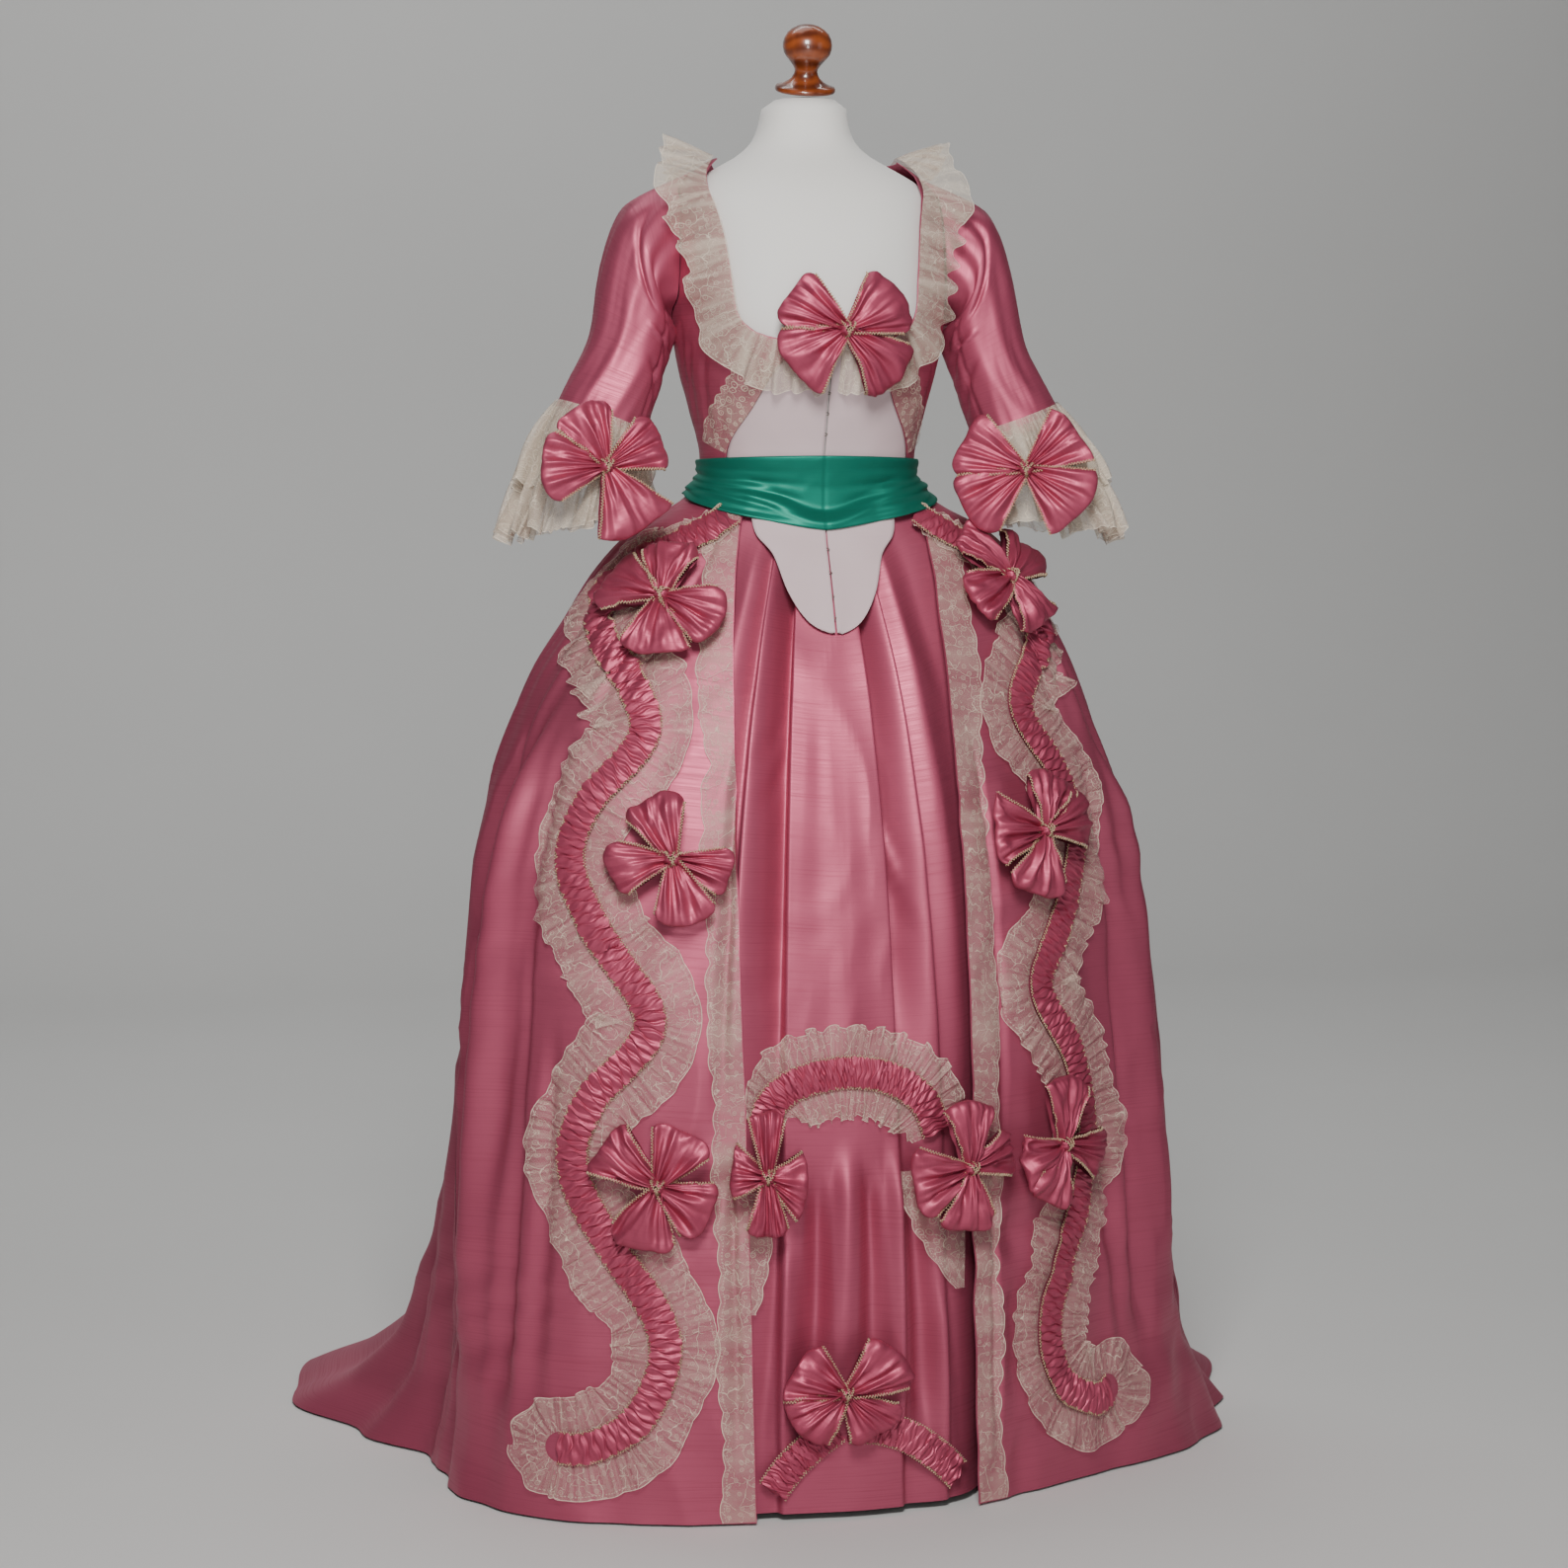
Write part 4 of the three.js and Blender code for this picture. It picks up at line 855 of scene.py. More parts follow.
# %% Lace, braid, jersey and wood
def lace(name, net, flowers, gathers, thread=(0.78, 0.63, 0.50, 1), shade=(0.60, 0.40, 0.36, 1)):
    material, tree, shader = new_material(name, Roughness=0.8, Specular_IOR_Level=0.25, Sheen_Weight=0.15,
                                          Sheen_Roughness=0.5)
    edge = node(tree, "Attribute", attribute_name="free").outputs["Fac"]
    threads = use(tree, lacework, Map=cloth_map(tree), To_edge=edge, Net=net, Flowers=flowers,
                  Gathers=gathers)
    yellowed = tuple(mix(np.array(thread), np.array(shade), 0.4))
    patches = use(tree, aged, Place=own_place(tree), Colour=thread, Faded_colour=yellowed, Amount=0.5)
    # Bare net takes the shade colour, its own colour; the fold part of the tone also paints shade between the
    # gathers with it. The threads take the thread colour.
    shaded = blended(tree, threads["Tone with painted shade"], shade, patches["Colour"])
    surfaced(tree, shader, shaded, threads["Height"], 0.6, 0.0008, Alpha=threads["Thread"])
    return material


gathered_net = lace("gathered blonde lace", 0.42, 0.45, 170.0)
flat_net = lace("flat blonde lace", 0.44, 0.5, 30.0)
ruffle_lace = lace("ruffle lace", 0.64, 0.5, 70.0, (0.84, 0.76, 0.62, 1), (0.60, 0.49, 0.39, 1))
fine_lace = lace("corded net lace", 0.42, 0.75, 20.0)

gold_braid, tree, shader = new_material("picot braid", Roughness=0.55, Sheen_Weight=0.2)
twist = use(tree, twisted, Map=cloth_map(tree), Turns=420.0, Colour=(0.72, 0.56, 0.36, 1),
            Shade=(0.46, 0.30, 0.17, 1))
surfaced(tree, shader, twist["Colour"], twist["Height"], 0.6)

jersey, tree, shader = new_material("white jersey", Roughness=0.85, Specular_IOR_Level=0.2,
                                    Sheen_Weight=0.3, Sheen_Roughness=0.6)
knit = use(tree, twisted, Map=cloth_map(tree), Turns=900.0, Colour=(0.80, 0.79, 0.76, 1),
           Shade=(0.72, 0.71, 0.69, 1))
patches = use(tree, aged, Place=own_place(tree), Colour=knit["Colour"],
              Faded_colour=(0.72, 0.69, 0.64, 1), Amount=0.5)
surfaced(tree, shader, patches["Colour"], knit["Height"], 0.15, 0.0004)


def wood(name, dark, light, coat):
    material, tree, shader = new_material(name, Coat_Weight=coat, Coat_Roughness=0.08,
                                          Specular_IOR_Level=0.5)
    add, times = maths(tree)[:2]
    where = own_place(tree)
    grain = noise(tree, scaled(tree, where, (60, 60, 7)), 1.0, 4)
    sizes = {"Vector": where, "Scale": 22.0, "Distortion": 5.0, "Detail": 2.0}
    rings = node(tree, "TexWave", sizes, wave_type="RINGS").outputs["Fac"]
    mixed = add(times(grain, 0.7), times(rings, 0.3))
    coloured = blended(tree, ranged(tree, mixed, 0.3, 0.7), dark, light)
    patches = use(tree, aged, Place=where, Colour=coloured, Faded_colour=dark, Amount=0.35)
    surfaced(tree, shader, patches["Colour"], mixed, 0.08,
             Roughness=ranged(tree, grain, 0.3, 0.7, 0.28, 0.42))
    return material


red_wood = wood("varnished red wood", (0.10, 0.018, 0.005, 1), (0.30, 0.065, 0.014, 1), 0.8)
dark_wood = wood("stand wood", (0.07, 0.03, 0.015, 1), (0.16, 0.075, 0.035, 1), 0.3)

hook_metal, tree, shader = new_material("blackened wire", Metallic=0.9)
tarnish = noise(tree, own_place(tree), 300.0, 3)
surfaced(tree, shader, blended(tree, tarnish, (0.10, 0.09, 0.08, 1), (0.32, 0.28, 0.24, 1)),
         Roughness=ranged(tree, tarnish, 0.3, 0.7, 0.3, 0.5))
print("materials:", len(bpy.data.materials))

# %% [markdown]
# ## The dress form
# The form is a padded body under stretched white jersey, with a turned and varnished knob at the
# neck and a pole and round base under the skirts. A lathe's smooth outline needs many sides to
# look turned, so the knob is drawn again with more of them. The pole and base, hidden under the
# skirts, keep their plain solids and only get wood.

# %% Form, knob and stand
FORM_FOOT, FORM_TOP = 820, 1585
set_back = float(read(FORM, "set", np.array(float(FORM_TOP))))
around, heights = lattice((-180, 180, 180), (FORM_FOOT, FORM_TOP, 84), closed=True)
body = form(around, heights)
seams = dent(np.abs(turned(around)), ((180, 1.2, 1.0), (92, 1.0, 1.0)))
body[..., :2] *= (1 - 0.006 * seams)[..., None]
cap_in = np.linspace(1, 0, 8)[1:, None, None]
crown, foot = place(0, set_back, FORM_TOP), place(0, 0, FORM_FOOT)
top = crown + (body[:, -1][None] - crown) * cap_in + place(0, 0, 4) * (1 - cap_in ** 2)
low = (foot + (body[:, 0][None] - foot) * cap_in)[::-1]
body = np.concatenate([np.moveaxis(low, 0, 1), body, np.moveaxis(top, 0, 1)], axis=1)
torso = piece_from("jersey_torso", [body], closed=True)
dress(torso, jersey)
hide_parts("form_torso")

# The knob's outline: radius and height above its foot, in mm.
KNOB = (
    (0, 0), (34, 0), (35, 1.5), (35, 4), (34, 6), (27, 8), (21, 11.5), (16.5, 15.5), (14, 20), (13.2, 23),
    (13.6, 26), (16, 30), (20, 35), (24, 39.5), (27, 44), (28.4, 50), (28.5, 55), (27, 61), (24, 66.5),
    (19, 71), (12, 75), (6, 76.6), (0, 77),
)
NECK_LEAN = math.radians(16)
spin = np.linspace(0, 2 * math.pi, 64, endpoint=False)[:, None]
rim, rise = np.array(KNOB, float).T
ahead = rim * np.sin(spin)
turned_knob = place(
    rim * np.cos(spin),
    ahead * math.cos(NECK_LEAN) - rise * math.sin(NECK_LEAN) + set_back - 4,
    ahead * math.sin(NECK_LEAN) + rise * math.cos(NECK_LEAN) + FORM_TOP + 11,
)
knob = piece_from("turned_knob", [turned_knob], closed=True)
dress(knob, red_wood)
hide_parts("neck_knob")
for name in ("stand_base", "stand_pole"):
    dress(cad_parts[name], dark_wood)
print("form and knob:", len(torso.data.polygons) + len(knob.data.polygons), "faces")

# %% [markdown]
# ## Petticoat and skirts
# The petticoat is a whole tube of silk, gathered to the waist. In the robe's opening it is laid in
# a few knife tucks that turn to the sides. The robe's skirt is two fronts and a back:
# the back is pleated in at the waist and runs out into the train. Each is one open grid, fine
# enough to carry its creases.

# %% Petticoat
u, v = lattice((-180, 180, 420), (0, 1, 84), closed=True)
dense = u - 38 * np.sin(np.radians(u)) * smooth(1 - np.abs(u) / 180)
tube = lifted(petticoat, dense, mix(PETTICOAT_HEM, waistline(dense), v), np.zeros_like(u))
sew("petticoat_silk", [tube], pink_silk, ["petticoat"], closed=True)

# %% The robe's fronts and its back
SIDE_SEAM, SEAM_GAP = 93, 0.12
for name, side in SIDES:
    u, v = lattice((0, 1, 150), (0, 1, 105))
    z = mix(HEM_HEIGHT, waistline(side * mix(34, SIDE_SEAM, u)), v)
    front = gown(side * mix(read(SKIRT_EDGE[name], "bearing", z), SIDE_SEAM, u), z)
    sew(f"robe_front_{name}", [front], pink_silk, [f"skirt_{name}"])
u, v = lattice((SIDE_SEAM + SEAM_GAP, 360 - SIDE_SEAM - SEAM_GAP, 330), (0, 1, 105))
back = gown(u, mix(HEM_HEIGHT, waistline(u), v ** 1.25))
sew("robe_back_train", [back], pink_silk, ["skirt_back"])

# %% [markdown]
# ## Bodice, stomacher and sash
# The bodice is fitted and lined, so it is nearly smooth: a few drag lines run from the underarm to
# the waist. The stomacher closes down the middle with hooks, and its two rounded tabs hang over
# the petticoat. The sash is one long piece of thin silk wrapped round the waist, and its folds
# gather towards the sides.


# %% Bodice
def from_waist(b, z):
    return np.maximum(z, waistline(b) + 2)


BODICE_FOOT, STOMACHER_TOP, TAB_FOOT, TAB_TOP, CLOSING = 1094, 1298, 974, 1102, 0.45
# The drag lines have the columns of the robe's creases.
BODICE_DRAGS = (
    (58, 1300, 72, 1190, 5, -2.2, 2), (66, 1320, 80, 1210, 5, -2.4, 2), (74, 1330, 84, 1230, 4, -2, 0),
    (46, 1280, 66, 1185, 5, -1.5, 3), (-58, 1300, -70, 1190, 5, -2.2, -2),
    (-66, 1325, -82, 1200, 5, -2.4, -2), (-75, 1330, -84, 1240, 4, -2, 0),
    (-44, 1275, -62, 1185, 5, -1.5, -3), (120, 1400, 130, 1200, 6, -1.5, 2),
    (-122, 1420, -132, 1190, 6, -1.5, 2), (150, 1440, 152, 1150, 3, -1.2, 0),
    (-150, 1440, -152, 1150, 3, -1.2, 0), (179, 1470, 179, 1150, 2.0, -1.4, 0),
)


def fitted(b, z):
    """The bodice with its drag lines and faint crumple."""
    soft = creased(BODICE_DRAGS, b, z) + 0.35 * crumple(b * BODICE_DEGREE, z, 42, 23)
    return lifted(bodice, b, z, soft)


for name, side in SIDES:
    u, v = lattice((0, 1, 48), (BODICE_FOOT, SHOULDER, 90))
    b = side * mix(read(FRONT_EDGE, "bearing", v), 90 - SEAM_GAP - armhole(v), u)
    half = fitted(b, from_waist(b, v))
    sew(f"bodice_front_{name}", [half], pink_silk, [f"bodice_{name}"],
        thickness=1.0)

    u, v = lattice((0, 1, 26), (BODICE_FOOT, STOMACHER_TOP, 44))
    b = side * mix(CLOSING, read(FRONT_EDGE, "bearing", v) - 2.5 * SEAM_GAP, u)
    panel = lifted(bodice, b, from_waist(b, v), 0.5 * waves(b * BODICE_DEGREE, v, 60, 40 + side))
    sew(f"stomacher_half_{name}", [panel], pale_cloth, [f"stomacher_{name}"],
        thickness=1.2)

    u, v = lattice((0, 1, 24), (TAB_FOOT, TAB_TOP, 44))
    b = side * mix(CLOSING, read(TAB, "bearing", v), u)
    z = v + 14 * smooth((np.abs(b) - 20) / 20) * smooth((v - 1078) / 24)
    tab = lifted(petticoat_face, b, z, 5 + 0.8 * np.sin(u * 5 + v / 30) * smooth((1090 - v) / 20))
    sew(f"stomacher_tab_{name}", [tab], pale_cloth, [f"tab_{name}"],
        thickness=1.2)
edge = 90 + SEAM_GAP
u, v = lattice((0, 1, 130), (BODICE_FOOT, SHOULDER, 84))
b = mix(edge + armhole(v), 360 - edge - armhole(v), u)
low = 16 * smooth((np.abs(turned(b)) - 105) / 50) * smooth((v - 1440) / (SHOULDER - 1440))
sew("bodice_back_silk", [fitted(b, from_waist(b, v) - low)], pink_silk, ["bodice_back"],
    thickness=1.0)


# %% Sash
# The sash's folds: their level on it, from 0 at its lower edge to 1, and their depth.
SASH_FOLDS = ((0.8, 1.0), (0.6, 2.4), (0.42, 3.4), (0.26, 2.8), (0.12, 2.6))


def sash_point(b, v):
    aside = np.abs(turned(b))
    z = mix(sashline(b), SASH_TOP - 4 * smooth(aside / 120), v)
    body = bodice(b, z)
    clear = 3 + SASH_THICK
    over = np.hypot(body[..., 0], body[..., 1]) + clear
    lift = mix(WAIST_LIFT, GOWN_LIFT, smooth((aside - 30) / 15))
    out = skirt_radius(b, np.minimum(z, waistline(b))) + lift + clear
    radius = mix(over, np.maximum(over, out), smooth((waistline(b) + 22 - z) / 20)) + 0.8
    bend = 0.12 * (1 - aside / 75) ** 2 * smooth(1 - aside / 75)
    pleat = 0.0
    for k, (level, depth) in enumerate(SASH_FOLDS):
        line = level - bend * (1 - level) + 0.03 * np.sin(np.radians(b) * 3 + k * 2)
        t = (v - line) / 0.13
        crisp = smooth(1 - np.abs(t)) * mix(1, np.clip(1 - 3 * t, 0, 1), 0.4)
        pleat = pleat - 1.25 * depth * crisp * (0.1 + 0.9 * smooth((aside - 6) / 36))
    seam = -1.3 * smooth(1 - np.abs(turned(b) - 0.5) / 1.1)
    edges = -1.4 * smooth(1 - v / 0.06) - 1.0 * smooth(1 - (1 - v) / 0.05)
    return polar(b, radius + pleat + seam + edges + 0.25 * crumple(b * BODICE_DEGREE, z, 50, 61), z)


wrap = sash_point(*lattice((-180, 180, 300), (0, 1, 38), closed=True))
sew("sash_silk", [wrap], green_silk, ["sash"],
    closed=True, thickness=1.2)

# %% [markdown]
# ## Sleeves
# Each sleeve is cut in one piece and bends with the arm: the cloth strains in long lines down its
# outside and breaks into short folds at the inner elbow. The two lace ruffles are gathered round the
# sleeve's end, so they spread like bells.

# %% Sleeves and their ruffles
SLEEVE_CREASES = (
    # angle and length down at the top, the same at the bottom, half width, depth, sway
    (60, 20, 40, 205, 14, -3.0, 10), (95, 60, 70, 215, 14, -3.0, 8), (20, 10, 5, 180, 14, -2.0, -6),
    (130, 60, 165, 120, 12, -4.5, 10), (120, 92, 175, 150, 10, -4.5, 8), (118, 128, 172, 190, 9, -4, 6),
    (140, 40, 185, 96, 10, 3, 6), (200, 30, 190, 180, 14, -3.5, 8), (250, 40, 240, 200, 14, -3, -8),
    (300, 20, 320, 190, 12, -2.5, 8), (80, 4, 130, 60, 10, -3.5, -10), (340, 12, 345, 160, 9, -2, 6),
    (128, 34, 142, 216, 3.2, -2.6, 4), (45, 22, 120, 86, 7, -4.5, -8), (105, 100, 150, 116, 6, 4, 3),
)
SAG_INWARD, SAG_DOWN = 9, 7
RUFFLES = (
    # name, start and end down the arm, lift off the sleeve, height of a fold, folds
    ("lower", 214, 384, 1.4, 16, 19),
    ("upper", 206, 318, 3.6, 14, 16),
)
for name, side in SIDES:
    surface = sleeve(side)
    u, v = lattice((0, 360, 104), (0, SLEEVE_LENGTH, 76), closed=True)
    soft = 0.6 * crumple(u * SLEEVE_DEGREE, v * 0.4, 40, 71 + side)
    for top, top_v, low, low_v, half, depth, sway in SLEEVE_CREASES:
        t = np.clip((v - top_v) / (low_v - top_v), -1, 2)
        centre = mix(top, low, t) + sway * np.sin(math.pi * np.clip(t, 0, 1)) + side * 4
        across = smooth(1 - np.abs(turned(u - centre)) / (SLEEVE_DEGREE * half))
        soft = soft + depth * across * smooth(t / 0.25) * smooth((1 - t) / 0.25)
    soft = soft * smooth((SLEEVE_LENGTH + 6 - v) / 20) * smooth((v + 3) / 12)
    tube = lifted(surface, u, v, soft)
    sew(f"sleeve_silk_{name}", [tube], pink_silk, [f"sleeve_{name}"],
        closed=True, thickness=1.0)
    for layer, start, end, lift, wave, count in RUFFLES:
        u, t = lattice((0, 360, count * 20), (0, 1, 20), closed=True)
        angle, turn = np.radians(u), wander(u / 360, count, 80 + 3 * count + side)
        scallop = 3.2 * np.abs(np.sin(angle * count * 1.5)) + 7 * np.cos(turn * 0.37 + 2)
        longer = 0.74 + 0.2 * np.cos(angle)
        down = start + (end - start + scallop) * t * longer
        ripple = wave * t ** 0.75 * (0.45 + 0.8 * np.cos(turn) + 0.4 * np.cos(turn * 1.7 + 1))
        ripple = ripple + 5.5 * np.sin(t * 5.2 + turn * 0.6) * t
        sway = (5.5 * np.sin(turn + 1.2) + 2.5 * np.sin(t * 6 + turn * 0.4)) * t
        bell = lifted(surface, u + sway, down, lift + np.maximum(ripple, -4 * t) + 4 * t * (layer == "upper"))
        sag = t ** 2 * (0.4 + 0.6 * np.cos(angle)) * (end - start) / 170
        bell = bell + place(-side * SAG_INWARD * sag, 0, -SAG_DOWN * sag)
        sew(f"cuff_ruffle_{layer}_{name}", [bell], ruffle_lace, [f"ruffle_{layer}_{name}"],
            closed=True, free=[(1 - t) * (end - start) * longer])

# %% [markdown]
# ## Braid
# A narrow gold braid with tiny loops, or picots, edges every gathered band and every bow. Real
# picots are a thread that swings from side to side. Here a thin tube swings the same way along
# its path, which catches light as loops do.


# %% Braid along a path
BRAID_SIDES, BRAID_STEP = 4, 0.85


def braid_along(path, lift, width=1.5, radius=0.75, pitch=3.4):
    """A small tube that zigzags along a path of points, seated on directions out of the cloth."""
    reach = arc(path[:, None], 0)[:, 0]
    stations = max(8, int(reach[-1] / BRAID_STEP))
    s = np.linspace(0, reach[-1], stations)
    line = np.stack([np.interp(s, reach, path[:, k]) for k in range(3)], axis=-1)
    out = unit(np.stack([np.interp(s, reach, lift[:, k]) for k in range(3)], axis=-1))
    along = unit(np.gradient(line, axis=0))
    aside = unit(np.cross(along, out))
    line = line + aside * (width * np.sin(s * 2 * math.pi / pitch))[:, None] + out * (radius * 0.6)
    spin = np.linspace(0, 2 * math.pi, BRAID_SIDES, endpoint=False)
    ring = aside[:, None] * np.cos(spin)[None, :, None] + out[:, None] * np.sin(spin)[None, :, None]
    swell = radius * (1 + 0.25 * np.sin(s * 4 * math.pi / pitch))
    tube = line[:, None] + ring * swell[:, None, None]
    return np.moveaxis(tube, 1, 0)


def braid_piece(name, tubes):
    piece = piece_from(name, tubes, closed=True)
    dress(piece, gold_braid)
    return piece


# %% [markdown]
# ## Gathered bands and lace
# A ruched band is a ribbon drawn up along both edges, so the silk between them puffs and breaks
# into small cross folds, no two alike. On either side of it a gathered lace spreads from the
# braid. Along the outer side of each bend the lace fans open, and inside it crowds together.


# %% Ruched bands with lace
RUCHED_WIDTH, SERPENTINE_LACE, ARCH_LACE = 34, 40, 32
FRONT_LACE, NECK_LACE, STOMACHER_LACE = 34, 50, 39
# Routes: bearing and z of each place that a band passes.
SERPENTINES = {
    "right": [
        (-50.5, 1107), (-58, 1084), (-68, 1062), (-75.5, 1032), (-72.5, 990), (-60, 936), (-50.5, 870),
        (-57.5, 788), (-58.5, 726), (-50.7, 638), (-41.6, 554), (-50.5, 470), (-53, 402), (-49, 332),
        (-39.3, 243), (-37.3, 186), (-41.5, 119), (-49, 86), (-53.7, 83),
    ],
    "left": [
        (53, 1108), (59, 1085), (67.5, 1062), (73.5, 1034), (73, 1000), (69, 962), (56.5, 891), (62, 817),
        (64.3, 736), (57, 645), (49.5, 574), (58, 492), (61.6, 396), (57.8, 310), (49.6, 192),
        (51.7, 125), (60.3, 90), (65, 96),
    ],
}
ARCH = [(-20.5, 440), (-19, 464), (-15, 482), (-8, 493), (-1, 496), (6, 491), (12, 478), (17, 456),
        (19.5, 424)]
SWAGS = {"right": [(-18.5, 36), (-15, 62), (-10, 86), (-5, 104)],
         "left": [(-2, 104), (5, 100), (12, 86), (19, 60), (24, 36)]}
TAPER = 5.0


def ruched_band(surface, route, gathers, base, seed):
    """A ribbon drawn up along both edges: folds start at each edge and lock between them."""
    def rise(s, w):
        lean = np.sin(wander(s, 11, seed + 1))
        from_near = zigzag(wander(s, gathers, seed) + 0.9 * lean * w)
        from_far = zigzag(wander(s, gathers * 0.91, seed + 3) - 0.9 * lean * (1 - w))
        meeting = smooth((w - 0.28 - 0.16 * np.sin(wander(s, 23, seed + 9))) / 0.4)
        fine = zigzag(wander(s, gathers * 1.7, seed + 7) + 2.5 * w)
        ridges = np.sqrt(np.clip(0.5 + 0.36 * mix(from_near, from_far, meeting) + 0.2 * fine, 0, 1))
        free = smooth(s / 0.02)
        return base * mix(0.4, 1, free) + 6.8 * ridges * (0.7 + 0.3 * np.sin(math.pi * w)) * free

    def pinched(sign):
        return lambda s: sign * (RUCHED_WIDTH / 2 + 1.1 * np.sin(wander(s, gathers * 0.7, seed + 2 + sign)))

    return strip(surface, route, gathers * 7, 12, pinched(-1), pinched(1), rise,
                 fan=lambda s, w: 1.6 * np.sin(w * 9 + wander(s, gathers * 0.5, seed + 5)))


def edge_braids(surface, route, lift):
    """Braid along both edges of a ruched band."""
    tubes = []
    for side in (-1, 1):
        near, far = side * (RUCHED_WIDTH / 2 - 1), side * (RUCHED_WIDTH / 2 + 1)
        seat = strip(surface, route, 160, 1, near, far, lambda s, w: lift).mean(axis=1)
        above = strip(surface, route, 160, 1, near, far, lambda s, w: lift + 5).mean(axis=1)
        tubes.append(braid_along(seat, above - seat, width=1.7, radius=0.8))
    return tubes


def gathered_lace(surface, route, side, reach, count, seed, wrapped=True):
    """Lace from a band's edge outwards: a fan of small pleats, scalloped, that may turn round its end."""
    near, corner = RUCHED_WIDTH / 2, 0.95 if wrapped else 1.0

    def slowed(s):
        return route(np.interp(s, (0, corner, 1 + 1e-9), (0, 0.999, 1)) if wrapped else s)

    def swing(s):
        return math.pi * smooth((s - corner) / 0.1) if wrapped else 0 * s

    def wide(s):
        full = reach + 3 * np.cos(s * 2 * math.pi * 12) + 2.2 * np.abs(np.sin(s * math.pi * count))
        end = 1 if wrapped else 0.45 + (1 - s) * TAPER
        return near + full * np.minimum(1, np.minimum(0.02 + s * TAPER, end))

    def rise(s, w):
        turn, fine = wander(s, count, seed), wander(s, count * 2.6, seed + 1)
        deep = (0.5 + 0.5 * np.cos(turn)) * 5.0 * w
        small = (0.5 + 0.5 * zigzag(fine)) * 2.2 * smooth(w * 4) * (1 - 0.5 * w)
        return 2.4 + deep + small

    def fan(s, w):
        return 3.0 * w * np.sin(wander(s, count * 0.6, seed + 4)) + mix(near, wide(s), w) * np.sin(swing(s))

    return strip(surface, slowed, int(count * 12), 11, lambda s: side * near * np.cos(swing(s)),
                 lambda s: side * wide(s) * np.cos(swing(s)), rise, fan=fan)


def trimming(name, surface, rows, side, reach, gathers, folds, wrapped=True):
    """A ruched band with braid on its edges and a gathered lace on each side."""
    route = route_through(rows)
    seed = 100 + 7 * len(name) + side
    band = ruched_band(surface, route, gathers, 4.2, seed)
    braid = braid_piece(f"braid_{name}", edge_braids(surface, route, 6.2))
    sew(f"ruched_band_{name}", [band], trim_silk, [f"{name}_band"])
    for k, (edge_name, sign) in enumerate((("outer", -side), ("inner", side))):
        grid = gathered_lace(surface, route, sign, reach, folds, seed + 20 * k + 11, wrapped)
        sew(f"lace_{edge_name}_{name}", [grid], gathered_net, [f"{name}_lace_{edge_name}"],
            free=[to_free_edge(grid)])


for name, side in SIDES:
    trimming(f"serpentine_{name}", gown, SERPENTINES[name], side, SERPENTINE_LACE, 172, 62)
trimming("arch", petticoat_face, ARCH, 1, ARCH_LACE, 54, 26, wrapped=False)
for name, side in SIDES:
    route = route_through(SWAGS[name])
    swag = ruched_band(petticoat_face, route, 20, 3.0, 210 + side)
    braid = braid_piece(f"braid_swag_{name}", edge_braids(petticoat_face, route, 5.0))
    sew(f"ruched_swag_{name}", [swag], trim_silk, [f"swag_{name}"])

# %% [markdown]
# The straight laces are hardly gathered at all. One runs down each front edge of the robe with its
# straight side on the edge, one edges each side of the stomacher, and a short tail of it hangs
# under each of the petticoat's upper bows. The neckline's lace is gathered hard and stands up.

# %% Flat laces, tails and the neck ruffle
TAIL_ROUTES = {"right": ([(-24.5, 370), (-24, 300), (-23, 232)], 34),
               "left": ([(27, 384), (27, 310), (26.5, 246)], 82)}
for name, side in SIDES:
    def down_edge(s):
        z = mix(sashline(side * 45) + 2, HEM_HEIGHT + 2, np.clip(s, 0, 1))
        return side * read(SKIRT_EDGE[name], "bearing", z), z

    def scalloped(s):
        scallop = 3.2 * np.abs(np.sin(s * math.pi * 36)) + 2.5 * np.cos(s * 2 * math.pi * 6)
        return -side * (FRONT_LACE + 4 * (side > 0) + scallop)

    def bodice_edge(s):
        z = mix(1272, SASH_TOP + 3, np.clip(s, 0, 1))
        return side * read(FRONT_EDGE, "bearing", z), z

    rows, reach = TAIL_ROUTES[name]
    grid = strip(gown, down_edge, 420, 12, -side, scalloped,
                 lambda s, w: 1.7 + 0.8 * w + 0.5 * waves(s * 1100, w * 34, 46, 310 + side) * w)
    sew(f"front_lace_{name}_net", [grid], flat_net, [f"front_lace_{name}"],
        free=[to_free_edge(grid)])
    grid = strip(fitted, bodice_edge, 130, 12, 0,
                 lambda s: -side * (STOMACHER_LACE + 3.6 * np.abs(np.sin(s * math.pi * 7.5))),
                 lambda s, w: 1.8 + 0.4 * w)
    sew(f"stomacher_lace_{name}_net", [grid], fine_lace, [f"stomacher_lace_{name}"],
        free=[to_free_edge(grid)])
    grid = strip(petticoat_face, route_through(rows), 90, 10, 0,
                 lambda s: side * (reach * (1 - 0.85 * s ** 2) + 3 * np.abs(np.sin(s * 16))),
                 lambda s, w: 5.4 + 1.6 * w * (1 - np.cos(s * 26)))
    sew(f"lace_tail_{name}", [grid], flat_net, [f"petticoat_lace_{name}"],
        free=[to_free_edge(grid)])

NECK_EDGE = [(-4, 1301), (-16, 1300), (-29, 1306), (-39, 1324), (-45, 1376), (-51.5, 1430),
             (-62.5, 1474), (-80, 1507), (-110, 1504), (-145, 1492), (-180, 1490)]
neck_route = route_through(NECK_EDGE + [(-360 - b, z) for b, z in NECK_EDGE[-2::-1]])
NECK_FOLDS = 42


def stands(s):
    """Where the ruffle stands up: over the shoulders."""
    return smooth(1 - np.abs(np.abs(turned(neck_route(s)[0])) - 76) / 40)


